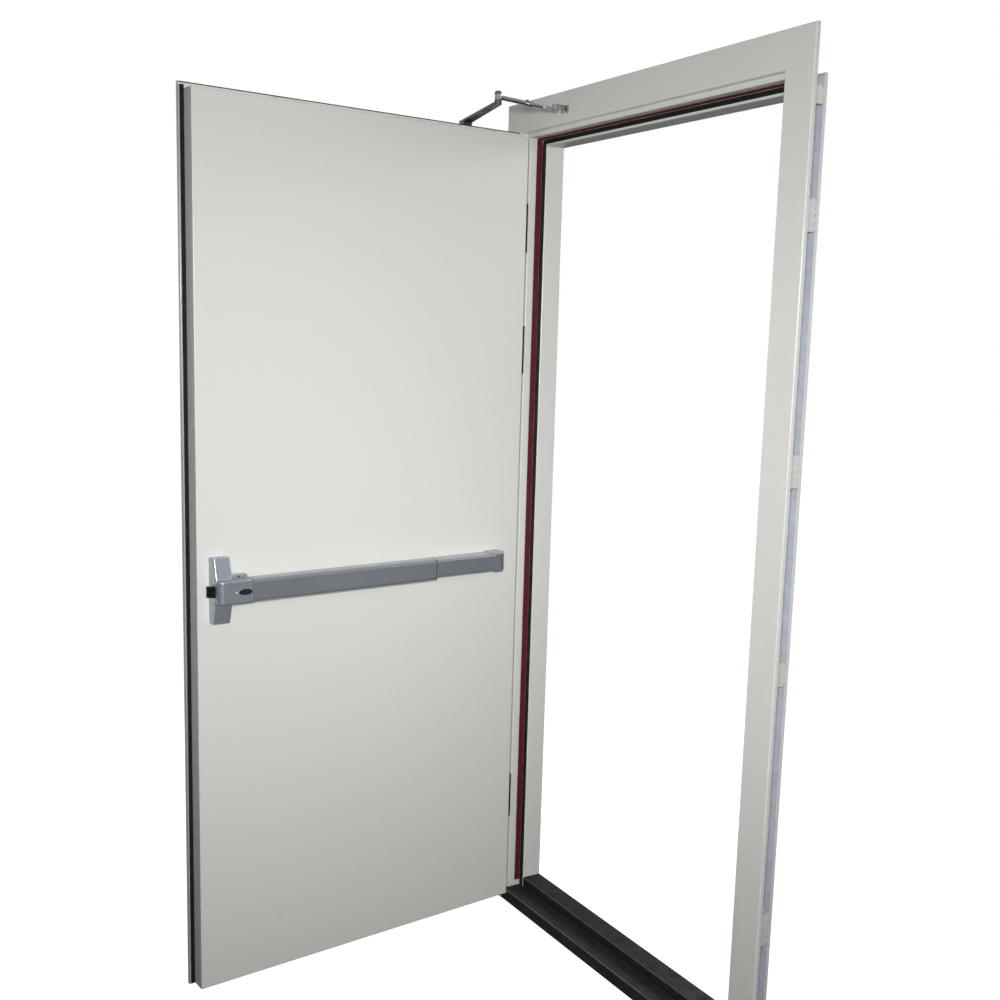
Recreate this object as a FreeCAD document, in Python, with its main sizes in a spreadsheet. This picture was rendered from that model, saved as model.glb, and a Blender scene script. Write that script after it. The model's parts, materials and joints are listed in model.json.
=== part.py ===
"""Rebated steel utility door, standing open in its bent-sheet frame.

Millimetres, +Z up. X runs along the frame to the right as seen from the pull side, Y runs from the
pull side to the push side, and the origin is under the middle of the sill. The leaf and all that it
carries are laid out as on the closed door, and one placement turns them about the hinge axis.
"""
import FreeCAD, Part
import Sketcher
import math
import os
import re

doc = FreeCAD.newDocument("steel_utility_door")
sheet = doc.addObject("Spreadsheet::Sheet", "dims")

# Driving sizes: name, value, meaning
SIZES = [
    ("leaf_width", 904, "leaf body, hinge edge to lock edge"),
    ("leaf_height", 2050, "leaf body"),
    ("leaf_thick", 50, "pull face to push face"),
    ("lip_thick", 10, "lip of the pull-side sheet"),
    ("lip_reach", 14, "lip past the leaf body on three sides"),
    ("leaf_round", 2, "rounding of the leaf's folded edges"),
    ("leaf_proud", 3, "closed leaf stands this far out of the frame's face"),
    ("open_angle", 84.5, "leaf as it stands, from closed"),
    ("edge_gap", 5, "clearance all round the leaf"),
    ("face_width", 78, "broad face of the frame"),
    ("frame_depth", 110, "pull face to push-side flange"),
    ("sheet_thick", 2, "frame and sill sheet"),
    ("bend_inside", 1, "inside radius of the frame's and the sill's bends"),
    ("wall_lip", 10, "returns at both outer edges of the frame"),
    ("far_flange", 40, "push-side flange of the frame"),
    ("stop_overlap", 11.5, "stop laps over the leaf's push face"),
    ("seal_thick", 2, "fire seal"),
    ("seal_width", 16, "fire seal"),
    ("gasket_thick", 2, "all black gaskets"),
    ("gasket_inset", 2, "stop gasket from the edges of the stop"),
    ("head_gasket_up", 5.5, "head's stop gasket above the stop's lower edge"),
    ("top_gasket_tall", 6, "gasket behind the lip's top edge"),
    ("sill_rise", 45, "floor to the leaf's bottom edge"),
    ("floor_gap", 10, "sill tread to the leaf's bottom edge"),
    ("sill_stop_rise", 17, "sill stop above the leaf's bottom edge"),
    ("fit_gap", 0.2, "between fixed pieces that are fitted in place"),
    ("sill_gap", 0.5, "between the coped sill and the jambs"),
    ("cut_over", 1, "cutting shapes pass this far beyond what they cut"),
    ("turn_gap", 0.3, "between flat faces that turn on each other"),
    ("strap_thick", 2, "anchor strap"),
    ("strap_hole", 6, "radius of the anchor bolt hole"),
    ("strap_hole_back", 35, "anchor bolt hole from the push-side flange"),
    ("strap_one_drop", 112, "centre of the top strap under the frame's top"),
    ("strap_one_tall", 36, "top strap"),
    ("strap_two_drop", 344, "centre of the second strap under the frame's top"),
    ("strap_two_tall", 65, "second strap"),
    ("strap_three_drop", 861, "centre of the third strap under the frame's top"),
    ("strap_three_tall", 69, "third strap"),
    ("strap_four_rise", 898, "centre of the fourth strap above the floor"),
    ("strap_four_tall", 54, "fourth strap"),
    ("strap_five_rise", 318, "centre of the bottom strap above the floor"),
    ("strap_five_tall", 74, "bottom strap"),
    ("hinge_upper_drop", 221, "centre of the upper hinge under the leaf's top edge"),
    ("hinge_middle_drop", 538, "centre of the middle hinge under the leaf's top edge"),
    ("hinge_lower_rise", 267, "centre of the lower hinge above the leaf's bottom edge"),
    ("hinge_height", 126, "hinge plates"),
    ("hinge_plate", 2, "thickness of the cranked hinge plates"),
    ("hinge_reach", 27, "hinge plate along the leaf's edge, past the lip"),
    ("barrel_radius", 7, "hinge knuckle"),
    ("barrel_clear", 1, "knuckle in front of the leaf"),
    ("knuckle_gap", 0.6, "between knuckles"),
    ("pin_radius", 4, "hinge pin"),
    ("pin_clear", 0.05, "radial clearance of the hinge pin"),
    ("pin_cap", 4, "pin head beyond the knuckles"),
    ("pin_cap_set", 1, "pin head inside the knuckle's outline"),
    ("pin_cap_round", 2.5, "rounding of the pin head"),
    ("bar_height", 964, "middle of the touch bar above the leaf's bottom edge"),
    ("rail_deep", 35, "touch bar rail, from the leaf"),
    ("rail_tall", 39.5, "touch bar rail"),
    ("rail_wall", 2.5, "touch bar rail channel"),
    ("rail_from", 92, "hinge-side end of the rail from the leaf's hinge edge"),
    ("pad_from", 295, "hinge-side end of the push pad"),
    ("pad_tall", 51.5, "push pad"),
    ("pad_wall", 2.5, "push pad channel"),
    ("pad_round", 6, "push pad's front edges"),
    ("pad_front", 55, "push pad's face, from the leaf"),
    ("pad_back", 20, "push pad's open edge, from the leaf"),
    ("pad_runner", 8, "runners along the push pad's open edges"),
    ("runner_clear", 0.5, "push pad's runners to the rail"),
    ("rail_cover_tall", 43.5, "fixed cover beside the pad"),
    ("rail_cover_front", 47, "fixed cover, from the leaf"),
    ("rail_cover_wall", 1.5, "fixed cover channel"),
    ("rail_cover_round", 5, "fixed cover's front edges"),
    ("bar_joint_gap", 2.5, "pad to its neighbours along the bar"),
    ("cap_from", 64, "end cap from the leaf's hinge edge"),
    ("cap_to", 108, "end cap's inner end"),
    ("cap_tall", 49, "end cap"),
    ("cap_front", 49, "end cap, from the leaf"),
    ("cap_nose", 30, "end cap's rounded outer end"),
    ("cap_round", 3, "end cap's top and bottom edges"),
    ("case_inset", 28, "latch case's end from the leaf's lock edge"),
    ("case_long", 82.5, "latch case along the bar"),
    ("case_tall", 52, "latch case"),
    ("case_front", 58, "latch case, from the leaf"),
    ("case_nose", 14, "latch case's rounded end"),
    ("case_round", 3, "latch case's top and bottom edges"),
    ("base_rise", 7, "case base above the case"),
    ("base_deep", 25, "case base, from the leaf"),
    ("base_round", 2, "case base's front edges"),
    ("wing_wide", 39, "wing cover along the bar"),
    ("wing_tall", 150, "wing cover, tip to tip"),
    ("wing_tip", 27, "wing cover's tip, from the leaf"),
    ("wing_root", 40, "wing cover beside the case, from the leaf"),
    ("wing_round", 3, "wing cover's outer edges"),
    ("bolt_out", 13, "latch bolt past the case"),
    ("bolt_in", 26, "latch bolt inside the case"),
    ("bolt_tall", 25, "latch bolt"),
    ("bolt_from", 15, "latch bolt's near side, from the leaf"),
    ("bolt_deep", 22, "latch bolt"),
    ("bolt_nose", 5, "flat left at the tip of the bevelled latch bolt"),
    ("bolt_clear", 0.5, "latch bolt in the case"),
    ("bolt_travel", 10, "latch bolt's stroke"),
    ("plug_length", 33, "oval plug"),
    ("plug_tall", 14, "oval plug"),
    ("plug_proud", 1, "oval plug on the case"),
    ("plug_inset", 3.5, "oval plug from the case's hinge-side end"),
    ("keeper_reach", 8, "keeper into the doorway"),
    ("keeper_tall", 50, "keeper"),
    ("keeper_plate", 2, "keeper's plate on the reveal"),
    ("keeper_long", 42, "keeper's plate, from the stop"),
    ("keeper_clear", 3, "keeper to the latch bolt"),
    ("spindle_u", 142, "closer spindle from the leaf's hinge edge"),
    ("spindle_off", 30, "closer spindle from the leaf's pull face"),
    ("closer_from", 70, "closer body from the leaf's hinge edge"),
    ("closer_long", 232, "closer body"),
    ("closer_tall", 60, "closer body"),
    ("closer_deep", 48, "closer body"),
    ("closer_round", 5, "closer body's front edges"),
    ("closer_drop", 10, "closer body's top under the lip's top edge"),
    ("collar_radius", 13, "closer spindle's collar"),
    ("collar_tall", 5, "closer spindle's collar"),
    ("spindle_radius", 7, "closer spindle"),
    ("arm_foot", 26, "square foot of the main arm, on the spindle"),
    ("arm_foot_tall", 12, "main arm's foot"),
    ("arm_foot_round", 2, "upright edges of the main arm's foot"),
    ("arm_end", 18, "main arm's width at the elbow"),
    ("arm_thick", 6, "main arm"),
    ("arm_foot_rise", 6, "main arm's foot over the lip's top edge"),
    ("arm_climb", 22, "main arm's underside at the elbow, above its foot's underside"),
    ("shoe_x", 188, "shoe pivot from the hinge axis, along the head"),
    ("shoe_off", 30, "shoe pivot in front of the frame's face"),
    ("elbow_radius", 8, "forearm's eye at the elbow"),
    ("elbow_pin", 4, "elbow pin radius"),
    ("elbow_clear", 0.6, "elbow pin in the forearm's eye"),
    ("elbow_lift", 5, "shoulder that carries the forearm's eye over the main arm"),
    ("elbow_cap", 8.5, "radius of the elbow's cap"),
    ("elbow_cap_tall", 8, "elbow's cap"),
    ("elbow_cap_round", 5, "rounding of the elbow's cap"),
    ("eye_tall", 12, "forearm's eye at the elbow"),
    ("tube_radius", 5.5, "forearm tube"),
    ("tube_share", 95, "forearm tube from the elbow"),
    ("clamp_radius", 7, "clamp at the end of the forearm tube"),
    ("clamp_long", 20, "clamp at the end of the forearm tube"),
    ("clamp_lug", 4, "clamp's lug beside the tube"),
    ("rod_radius", 4, "forearm rod"),
    ("rod_flat", 5, "thickness of the rod's flattened end"),
    ("rod_flat_long", 34, "rod's flattened end, from the shoe pivot"),
    ("rod_flat_wide", 14, "rod's flattened end"),
    ("forearm_drop", 11, "forearm from elbow to shoe"),
    ("shoe_plate", 4, "shoe plate"),
    ("shoe_wide", 28, "shoe plate"),
    ("shoe_low", 6, "shoe plate's lower edge under the rod's middle"),
    ("shoe_round", 3, "shoe plate's corners"),
    ("shoe_lug", 9, "shoe lug"),
    ("shoe_pin", 3.5, "shoe pin radius"),
    ("shoe_head", 6, "radius of the shoe pin's head"),
    ("shoe_head_tall", 2.5, "shoe pin's head"),
]

# Worked-out places: name, formula
PLACES = [
    ("inner_half", "leaf_width / 2 + lip_reach + edge_gap"),
    ("frame_half", "inner_half + face_width"),
    ("wall_half", "leaf_width / 2 + edge_gap + seal_thick"),
    ("reveal_half", "leaf_width / 2 - stop_overlap"),
    ("pull_face", "-frame_depth / 2"),
    ("leaf_front", "pull_face - leaf_proud"),
    ("lip_back", "leaf_front + lip_thick"),
    ("leaf_back", "leaf_front + leaf_thick"),
    ("seat_y", "lip_back + gasket_thick + edge_gap"),
    ("stop_y", "leaf_back + edge_gap + gasket_thick"),
    ("lip_top", "sill_rise + leaf_height + lip_reach"),
    ("head_inner", "lip_top + edge_gap"),
    ("frame_height", "head_inner + face_width"),
    ("wall_top", "sill_rise + leaf_height + edge_gap + seal_thick"),
    ("reveal_top", "sill_rise + leaf_height - stop_overlap"),
    ("hinge_edge", "-leaf_width / 2"),
    ("leaf_top", "sill_rise + leaf_height"),
    ("hinge_upper", "leaf_top - hinge_upper_drop"),
    ("hinge_middle", "leaf_top - hinge_middle_drop"),
    ("hinge_lower", "sill_rise + hinge_lower_rise"),
    ("strap_one", "frame_height - strap_one_drop"),
    ("strap_two", "frame_height - strap_two_drop"),
    ("strap_three", "frame_height - strap_three_drop"),
    ("strap_four", "1 * strap_four_rise"),
    ("strap_five", "1 * strap_five_rise"),
    ("axis_x", "edge_gap / 2 - inner_half"),
    ("axis_y", "leaf_front - barrel_radius - barrel_clear"),
    ("turn_cos", "cos(open_angle)"),
    ("turn_sin", "sin(open_angle)"),
    ("bar_z", "sill_rise + bar_height"),
    ("case_to", "leaf_width - case_inset"),
    ("case_from", "case_to - case_long"),
    ("pad_to", "case_from - bar_joint_gap"),
    ("wing_from", "case_to - wing_wide"),
    ("base_to", "wing_from - fit_gap"),
    ("plug_middle", "case_from + plug_inset + plug_length / 2"),
    ("closer_top", "lip_top - closer_drop"),
    ("spindle_x", "hinge_edge + spindle_u"),
    ("spindle_y", "leaf_front - spindle_off"),
    ("shoe_pivot_x", "axis_x + shoe_x"),
    ("shoe_pivot_y", "pull_face - shoe_off"),
    ("arm_base", "lip_top + arm_foot_rise"),
    ("arm_rise", "arm_climb + arm_thick - arm_foot_tall"),
    ("elbow_z", "arm_base + arm_climb + arm_thick + elbow_lift + turn_gap + eye_tall / 2"),
    ("shoe_z", "elbow_z - forearm_drop"),
    ("main_arm", "sqrt((shoe_pivot_x - axis_x)^2 + (shoe_pivot_y - axis_y)^2)"),
    ("main_arm_turn", "atan2(shoe_pivot_y - axis_y; shoe_pivot_x - axis_x) / 1 deg"),
    ("forearm", "sqrt((spindle_x - axis_x)^2 + (spindle_y - axis_y)^2)"),
    ("forearm_turn", "atan2(spindle_y - axis_y; spindle_x - axis_x) / 1 deg - open_angle"),
    ("forearm_tilt", "atan2(forearm_drop; forearm) / 1 deg"),
]


def fill_sheet():
    """Write the driving sizes as numbers and the places as formulas."""
    for row, (alias, value, meaning) in enumerate(SIZES, start=1):
        sheet.set("A%d" % row, meaning)
        sheet.set("B%d" % row, str(value))
        sheet.setAlias("B%d" % row, alias)
    for row, (alias, formula) in enumerate(PLACES, start=len(SIZES) + 2):
        sheet.set("A%d" % row, alias.replace("_", " "))
        sheet.set("B%d" % row, "=" + formula)
        sheet.setAlias("B%d" % row, alias)
    doc.recompute()


fill_sheet()
FULL_TURN = 360
SAME_PLACE = 0.001
ALIASES = {entry[0] for entry in SIZES + PLACES}
PARTS = []


def cells(text):
    """Point each size name in a formula at its cell."""
    return re.sub(r"[a-z]\w*", lambda word: "dims." + word[0] if word[0] in ALIASES else word[0], str(text))


def bind(obj, **formulas):
    """Bind properties of an object to formulas."""
    for name, text in formulas.items():
        obj.setExpression(name, cells(text))
    return obj


def place(obj, x="0", y="0", z="0", axis="0; 0; 1", angle="0"):
    """Put an object at a place in the frame, turned about an axis."""
    text = "placement(vector(%s; %s; %s); rotation(vector(%s); %s))" % (x, y, z, axis, angle)
    return bind(obj, Placement=text)


def on_leaf(obj, x="0", y="0", z="0"):
    """Put an object laid out on the closed leaf where the open leaf has it."""
    turned_x = "axis_x + ((%s) - axis_x) * turn_cos + ((%s) - axis_y) * turn_sin" % (x, y)
    turned_y = "axis_y - ((%s) - axis_x) * turn_sin + ((%s) - axis_y) * turn_cos" % (x, y)
    return place(obj, turned_x, turned_y, z, angle="-open_angle")


def box(name, size, at=("0", "0", "0")):
    """A block with bound sizes, at a place in its parent's layout."""
    obj = doc.addObject("Part::Box", name)
    bind(obj, Length=size[0], Width=size[1], Height=size[2])
    return place(obj, *at)


def rod(name, radius, height, at=("0", "0", "0"), axis="0; 0; 1", angle="0"):
    """A round bar with bound sizes."""
    obj = doc.addObject("Part::Cylinder", name)
    bind(obj, Radius=radius, Height=height)
    return place(obj, *at, axis=axis, angle=angle)


def join(name, pieces):
    """Several shapes as one solid."""
    obj = doc.addObject("Part::MultiFuse", name)
    obj.Shapes = pieces
    obj.Refine = True
    return obj


def gather(name, pieces):
    """Several like solids that don't touch, in one node."""
    obj = doc.addObject("Part::Compound", name)
    obj.Links = pieces
    return obj


def cut(name, base, tool):
    """One shape less another."""
    obj = doc.addObject("Part::Cut", name)
    obj.Base = base
    obj.Tool = tool
    return obj


def mirror_x(name, source):
    """The same piece on the other side of the middle."""
    obj = doc.addObject("Part::Mirroring", name)
    obj.Source = source
    obj.Normal = FreeCAD.Vector(1, 0, 0)
    return obj


def value(text):
    """A formula's number as it stands."""
    return float(sheet.evalExpression(cells(text)))


def spot(formulas):
    """A sketch point from two formulas."""
    return FreeCAD.Vector(value(formulas[0]), value(formulas[1]), 0)


def corner_ends(loop):
    """Where each corner's bend begins and ends, as formulas, with the bend's radius.

    A corner is (x, y) or, between two edges along the axes, (x, y, radius).
    """
    points = [spot(corner) for corner in loop]
    ends = []
    for i, corner in enumerate(loop):
        radius = corner[2] if len(corner) > 2 else "0"
        arrive = (points[i] - points[i - 1]).normalize()
        leave = (points[(i + 1) % len(loop)] - points[i]).normalize()
        begin = tuple("%s - (%d) * (%s)" % (at, round(way), radius) for at, way in zip(corner, arrive))
        end = tuple("%s + (%d) * (%s)" % (at, round(way), radius) for at, way in zip(corner, leave))
        ends.append((begin, end, radius) if len(corner) > 2 else (corner, corner, None))
    return ends


def bind_point(sketch, line, which, formulas):
    """Bind the start (1) or end (2) of a line to two formulas."""
    point = spot(formulas)
    for kind, text, number in zip(("DistanceX", "DistanceY"), formulas, point):
        index = sketch.addConstraint(Sketcher.Constraint(kind, -1, 1, line, which, number))
        sketch.setExpression("Constraints[%d]" % index, cells(text))


def draw(sketch, loop):
    """Draw a closed outline of lines, with an arc of bound radius at each rounded corner."""
    ends = corner_ends(loop)
    count = len(loop)
    first = sketch.GeometryCount
    for i in range(count):
        sketch.addGeometry(Part.LineSegment(spot(ends[i][1]), spot(ends[(i + 1) % count][0])))
    for i, (begin, end, radius) in enumerate(ends):
        line_in = first + (i - 1) % count
        line_out = first + i
        bind_point(sketch, line_out, 1, end)
        if radius is None:
            sketch.addConstraint(Sketcher.Constraint("Coincident", line_in, 2, line_out, 1))
            continue
        bind_point(sketch, line_in, 2, begin)
        middle = spot(begin) + spot(end) - spot(loop[i])
        turns = [math.atan2(*reversed((spot(at) - middle)[:2])) for at in (begin, end)]
        left = math.sin(turns[1] - turns[0]) > 0
        low, high = turns if left else reversed(turns)
        circle = Part.Circle(middle, FreeCAD.Vector(0, 0, 1), value(radius))
        arc = sketch.addGeometry(Part.ArcOfCircle(circle, low, high))
        sketch.addConstraint(Sketcher.Constraint("Coincident", line_in, 2, arc, 1 if left else 2))
        sketch.addConstraint(Sketcher.Constraint("Coincident", line_out, 1, arc, 2 if left else 1))
        index = sketch.addConstraint(Sketcher.Constraint("Radius", arc, value(radius)))
        sketch.setExpression("Constraints[%d]" % index, cells(radius))


def sketched_body(name, loops, plane):
    """A body with one sketch of closed outlines on one of its own planes."""
    body = doc.addObject("PartDesign::Body", name)
    sketch = body.newObject("Sketcher::SketchObject", name + "_outline")
    support = [item for item in body.Origin.OriginFeatures if item.Role == plane][0]
    sketch.AttachmentSupport = [(support, "")]
    sketch.MapMode = "FlatFace"
    for loop in loops:
        draw(sketch, loop)
    return body, sketch


def extrusion(name, loops, length, plane="XY_Plane"):
    """A body padded from closed outlines: up from a plan, along X from a side, along -Y from a front view."""
    body, sketch = sketched_body(name, loops, plane)
    pad = body.newObject("PartDesign::Pad", name + "_pad")
    pad.Profile = sketch
    bind(pad, Length=length)
    return body


def turned_body(name, outline):
    """A body turned about the Z axis from half an outline of (radius, height) corners."""
    body, sketch = sketched_body(name, [outline], "XZ_Plane")
    turn = body.newObject("PartDesign::Revolution", name + "_turn")
    turn.Profile = sketch
    turn.ReferenceAxis = (sketch, ["V_Axis"])
    turn.Angle = FULL_TURN
    return body


def soften(body, radius, chosen):
    """Round the edges of a body whose middles are chosen, in the body's own layout."""
    doc.recompute()
    base = body.Tip
    names = ["Edge%d" % (i + 1) for i, edge in enumerate(base.Shape.Edges) if chosen(edge.CenterOfMass)]
    fillet = body.newObject("PartDesign::Fillet", "%s_round_%s" % (body.Name, base.Name))
    fillet.Base = (base, names)
    bind(fillet, Radius=radius)
    return body


def level_edges(axis, text):
    """Chooses the edges that lie at one level of an axis."""
    level = value(text)
    return lambda middle: abs(getattr(middle, axis) - level) < SAME_PLACE


def part(label, obj):
    """Keep an object as a sub-part under its own name."""
    obj.Label = label
    PARTS.append(obj)
    return obj


# Frame: one bent-sheet section for the jambs and the head, mitred at the corners
WALL_IN = "frame_half - wall_half"
REVEAL_IN = "frame_half - reveal_half"
SEAT_IN = "seat_y - pull_face"
STOP_IN = "stop_y - pull_face"
FAR_IN = "frame_half - reveal_half - far_flange"
OUTER = "bend_inside + sheet_thick"
INNER = "bend_inside"
FRAME_SECTION = [
    ("0", "wall_lip"),
    ("0", "0", OUTER),
    ("face_width", "0", OUTER),
    ("face_width", SEAT_IN, INNER),
    (WALL_IN, SEAT_IN, OUTER),
    (WALL_IN, STOP_IN, INNER),
    (REVEAL_IN, STOP_IN, OUTER),
    (REVEAL_IN, "frame_depth", OUTER),
    (FAR_IN, "frame_depth", OUTER),
    (FAR_IN, "frame_depth - wall_lip"),
    (FAR_IN + " + sheet_thick", "frame_depth - wall_lip"),
    (FAR_IN + " + sheet_thick", "frame_depth - sheet_thick", INNER),
    (REVEAL_IN + " - sheet_thick", "frame_depth - sheet_thick", INNER),
    (REVEAL_IN + " - sheet_thick", STOP_IN + " + sheet_thick", INNER),
    (WALL_IN + " - sheet_thick", STOP_IN + " + sheet_thick", OUTER),
    (WALL_IN + " - sheet_thick", SEAT_IN + " + sheet_thick", INNER),
    ("face_width - sheet_thick", SEAT_IN + " + sheet_thick", OUTER),
    ("face_width - sheet_thick", "sheet_thick", INNER),
    ("sheet_thick", "sheet_thick", INNER),
    ("sheet_thick", "wall_lip"),
]
MITRE_SPAN = "2 * frame_depth + 2 * face_width"


def mitre_block(name, drop):
    """A block whose face lies in the left mitre, above it or, with a drop, below it."""
    x = "-frame_half - (face_width + (%s)) * cos(45)" % drop
    z = "frame_height + (face_width - (%s)) * cos(45)" % drop
    block = box(name, (MITRE_SPAN, "2 * frame_depth", "2 * frame_depth"))
    return place(block, x, "-frame_depth", z, axis="0; 1; 0", angle="45")


jamb_bar = place(extrusion("jamb_bar", [FRAME_SECTION], "frame_height"), "-frame_half", "pull_face")
hinge_jamb = part("hinge_jamb", cut("hinge_jamb", jamb_bar, mitre_block("over_mitre", "0")))
part("strike_jamb", mirror_x("strike_jamb", hinge_jamb))
head_bar = extrusion("head_bar", [FRAME_SECTION], "2 * frame_half")
place(head_bar, "-frame_half", "pull_face", "frame_height", axis="0; 1; 0", angle="90")
under_left = mitre_block("under_mitre", "2 * frame_depth")
under_right = mirror_x("under_mitre_right", under_left)
part("head_member", cut("head_member", cut("head_one_end", head_bar, under_left), under_right))

# Sill: folded closed section, coped to the jambs
SILL_TOP = "sill_rise + sill_stop_rise"
SILL_TREAD = "sill_rise - floor_gap"


def sill_outline(inset, bend, root):
    """The sill's section as (depth, height), inset from its outside, with its bends and the stop's root."""
    return [
        (inset, inset, bend),
        ("frame_depth - %s" % inset, inset, bend),
        ("frame_depth - %s" % inset, "%s - %s" % (SILL_TOP, inset), bend),
        ("%s + %s" % (STOP_IN, inset), "%s - %s" % (SILL_TOP, inset), bend),
        ("%s + %s" % (STOP_IN, inset), "%s - %s" % (SILL_TREAD, inset), root),
        (inset, "%s - %s" % (SILL_TREAD, inset), bend),
    ]


def sill_cope(name, half, from_depth, side):
    """Block that cuts the sill back to one step of a jamb, on the left (-1) or right (1)."""
    start = "-frame_half" if side < 0 else "%s - sill_gap" % half
    size = ("frame_half - %s + sill_gap" % half, "2 * frame_depth", "2 * (%s)" % SILL_TOP)
    return box(name, size, (start, "pull_face + %s - sill_gap" % from_depth, "-sill_rise"))


sill_loops = [sill_outline("0", OUTER, INNER), sill_outline("sheet_thick", INNER, OUTER)]
sill_bar = extrusion("sill_bar", sill_loops, "2 * (inner_half - sill_gap)", "YZ_Plane")
place(sill_bar, "sill_gap - inner_half", "pull_face")
copes = []
for step, (half, depth) in enumerate((("wall_half", "(%s)" % SEAT_IN), ("reveal_half", "(%s)" % STOP_IN))):
    for side in (-1, 1):
        side_name = "left" if side < 0 else "right"
        copes.append(sill_cope("sill_cope_%d_%s" % (step, side_name), half, depth, side))
part("sill", cut("sill", sill_bar, join("sill_copes", copes)))

# Anchor straps across the open back of each jamb
straps = []
strap_levels = ("strap_one", "strap_two", "strap_three", "strap_four", "strap_five")
bored_levels = ("strap_two", "strap_three", "strap_five")
for level in strap_levels:
    tall = level + "_tall"
    corner = "-frame_half + %s" % FAR_IN
    plate_at = (corner, "pull_face + sheet_thick", "%s - %s / 2" % (level, tall))
    strap_long = "frame_depth - sheet_thick - wall_lip - fit_gap"
    plate = box("plate_" + level, ("strap_thick", strap_long, tall), plate_at)
    if level in bored_levels:
        hole_at = ("%s - cut_over" % corner, "-pull_face - strap_hole_back", level)
        through = "strap_thick + 2 * cut_over"
        hole = rod("hole_" + level, "strap_hole", through, hole_at, axis="0; 1; 0", angle="90")
        plate = cut("bored_" + level, plate, hole)
    straps.append(plate)
left_straps = part("hinge_jamb_anchors", gather("hinge_jamb_anchors", straps))
part("strike_jamb_anchors", mirror_x("strike_jamb_anchors", left_straps))

# Fire seals on the rebate walls and gaskets on the stops
SEAL_LOW = "%s + fit_gap" % SILL_TREAD
seal_y = "stop_y - seal_width - gasket_thick"
seal_size = ("seal_thick", "seal_width", "wall_top - seal_thick - fit_gap - (%s)" % SEAL_LOW)
hinge_seal = part("hinge_side_fire_seal", box("hinge_seal", seal_size, ("-wall_half", seal_y, SEAL_LOW)))
part("strike_side_fire_seal", mirror_x("strike_seal", hinge_seal))
head_seal_size = ("2 * wall_half", "seal_width", "seal_thick")
part("head_fire_seal", box("head_seal", head_seal_size, ("-wall_half", seal_y, "wall_top - seal_thick")))
gasket_y = "stop_y - gasket_thick"
stop_wide = "wall_half - reveal_half - 2 * gasket_inset"
gasket_low = "%s + fit_gap" % SILL_TOP
gasket_size = (stop_wide, "gasket_thick", "reveal_top + head_gasket_up - fit_gap - (%s)" % gasket_low)
gasket_at = ("-wall_half + gasket_inset", gasket_y, gasket_low)
hinge_gasket = part("hinge_side_stop_gasket", box("hinge_gasket", gasket_size, gasket_at))
part("strike_side_stop_gasket", mirror_x("strike_gasket", hinge_gasket))
head_gasket_tall = "wall_top - reveal_top - head_gasket_up - gasket_inset"
head_gasket_size = ("2 * (wall_half - gasket_inset)", "gasket_thick", head_gasket_tall)
head_gasket_at = ("gasket_inset - wall_half", gasket_y, "reveal_top + head_gasket_up")
part("head_stop_gasket", box("head_gasket", head_gasket_size, head_gasket_at))
sill_gasket_size = ("2 * (reveal_half - gasket_inset)", "gasket_thick", "sill_stop_rise - gasket_inset")
sill_gasket_at = ("gasket_inset - reveal_half", gasket_y, "sill_rise")
part("sill_stop_gasket", box("sill_gasket", sill_gasket_size, sill_gasket_at))

# Leaf: filled sheet-steel body and the pull-side sheet with its lip
BODY_DEEP = "leaf_thick - lip_thick"
body_outline = [("0", "0"), ("leaf_width", "0"), ("leaf_width", "leaf_height"), ("0", "leaf_height")]
leaf_body = extrusion("leaf_body", [body_outline], BODY_DEEP, "XZ_Plane")
soften(leaf_body, "leaf_round", level_edges("y", "0"))
part("leaf_body", on_leaf(leaf_body, "hinge_edge", "leaf_back", "sill_rise"))
LIP_WIDE = "leaf_width + 2 * lip_reach"
LIP_TALL = "leaf_height + lip_reach"
lip_outline = [("0", "0"), (LIP_WIDE, "0"), (LIP_WIDE, LIP_TALL), ("0", LIP_TALL)]
leaf_face = extrusion("leaf_face", [lip_outline], "lip_thick", "XZ_Plane")
soften(leaf_face, "leaf_round", level_edges("y", "-lip_thick"))
part("leaf_face_sheet", on_leaf(leaf_face, "hinge_edge - lip_reach", "lip_back", "sill_rise"))
lock_gasket_size = ("lip_reach", "gasket_thick", LIP_TALL + " - top_gasket_tall")
lock_gasket = part("lock_edge_gasket", box("lock_gasket", lock_gasket_size))
on_leaf(lock_gasket, "-hinge_edge", "lip_back", "sill_rise")
top_gasket_size = ("leaf_width + lip_reach", "gasket_thick", "top_gasket_tall")
top_gasket = part("top_edge_gasket", box("top_gasket", top_gasket_size))
on_leaf(top_gasket, "hinge_edge", "lip_back", "lip_top - top_gasket_tall")

# Hinges: cranked plates that follow the frame's and the leaf's steps, with three knuckles on a pin
KNUCKLE = "(hinge_height - 2 * knuckle_gap) / 3"
KNUCKLE_STEP = "(%s + knuckle_gap)" % KNUCKLE
FRAME_PLATE_BACK = "lip_back + hinge_reach"


def cranked_frame_plate(name, level):
    """Plate on the frame's return, seat and rebate wall, in the row's frame."""
    near, far = "-inner_half", "-wall_half"
    outline = [
        (near, "leaf_front + barrel_clear / 2"),
        (near + " + hinge_plate", "leaf_front + barrel_clear / 2"),
        (near + " + hinge_plate", "seat_y - hinge_plate"),
        (far + " + hinge_plate", "seat_y - hinge_plate"),
        (far + " + hinge_plate", FRAME_PLATE_BACK),
        (far, FRAME_PLATE_BACK),
        (far, "seat_y"),
        (near, "seat_y", "hinge_plate"),
    ]
    body = extrusion(name, [outline], "hinge_height")
    return place(body, z="%s - hinge_height / 2" % level)


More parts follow.
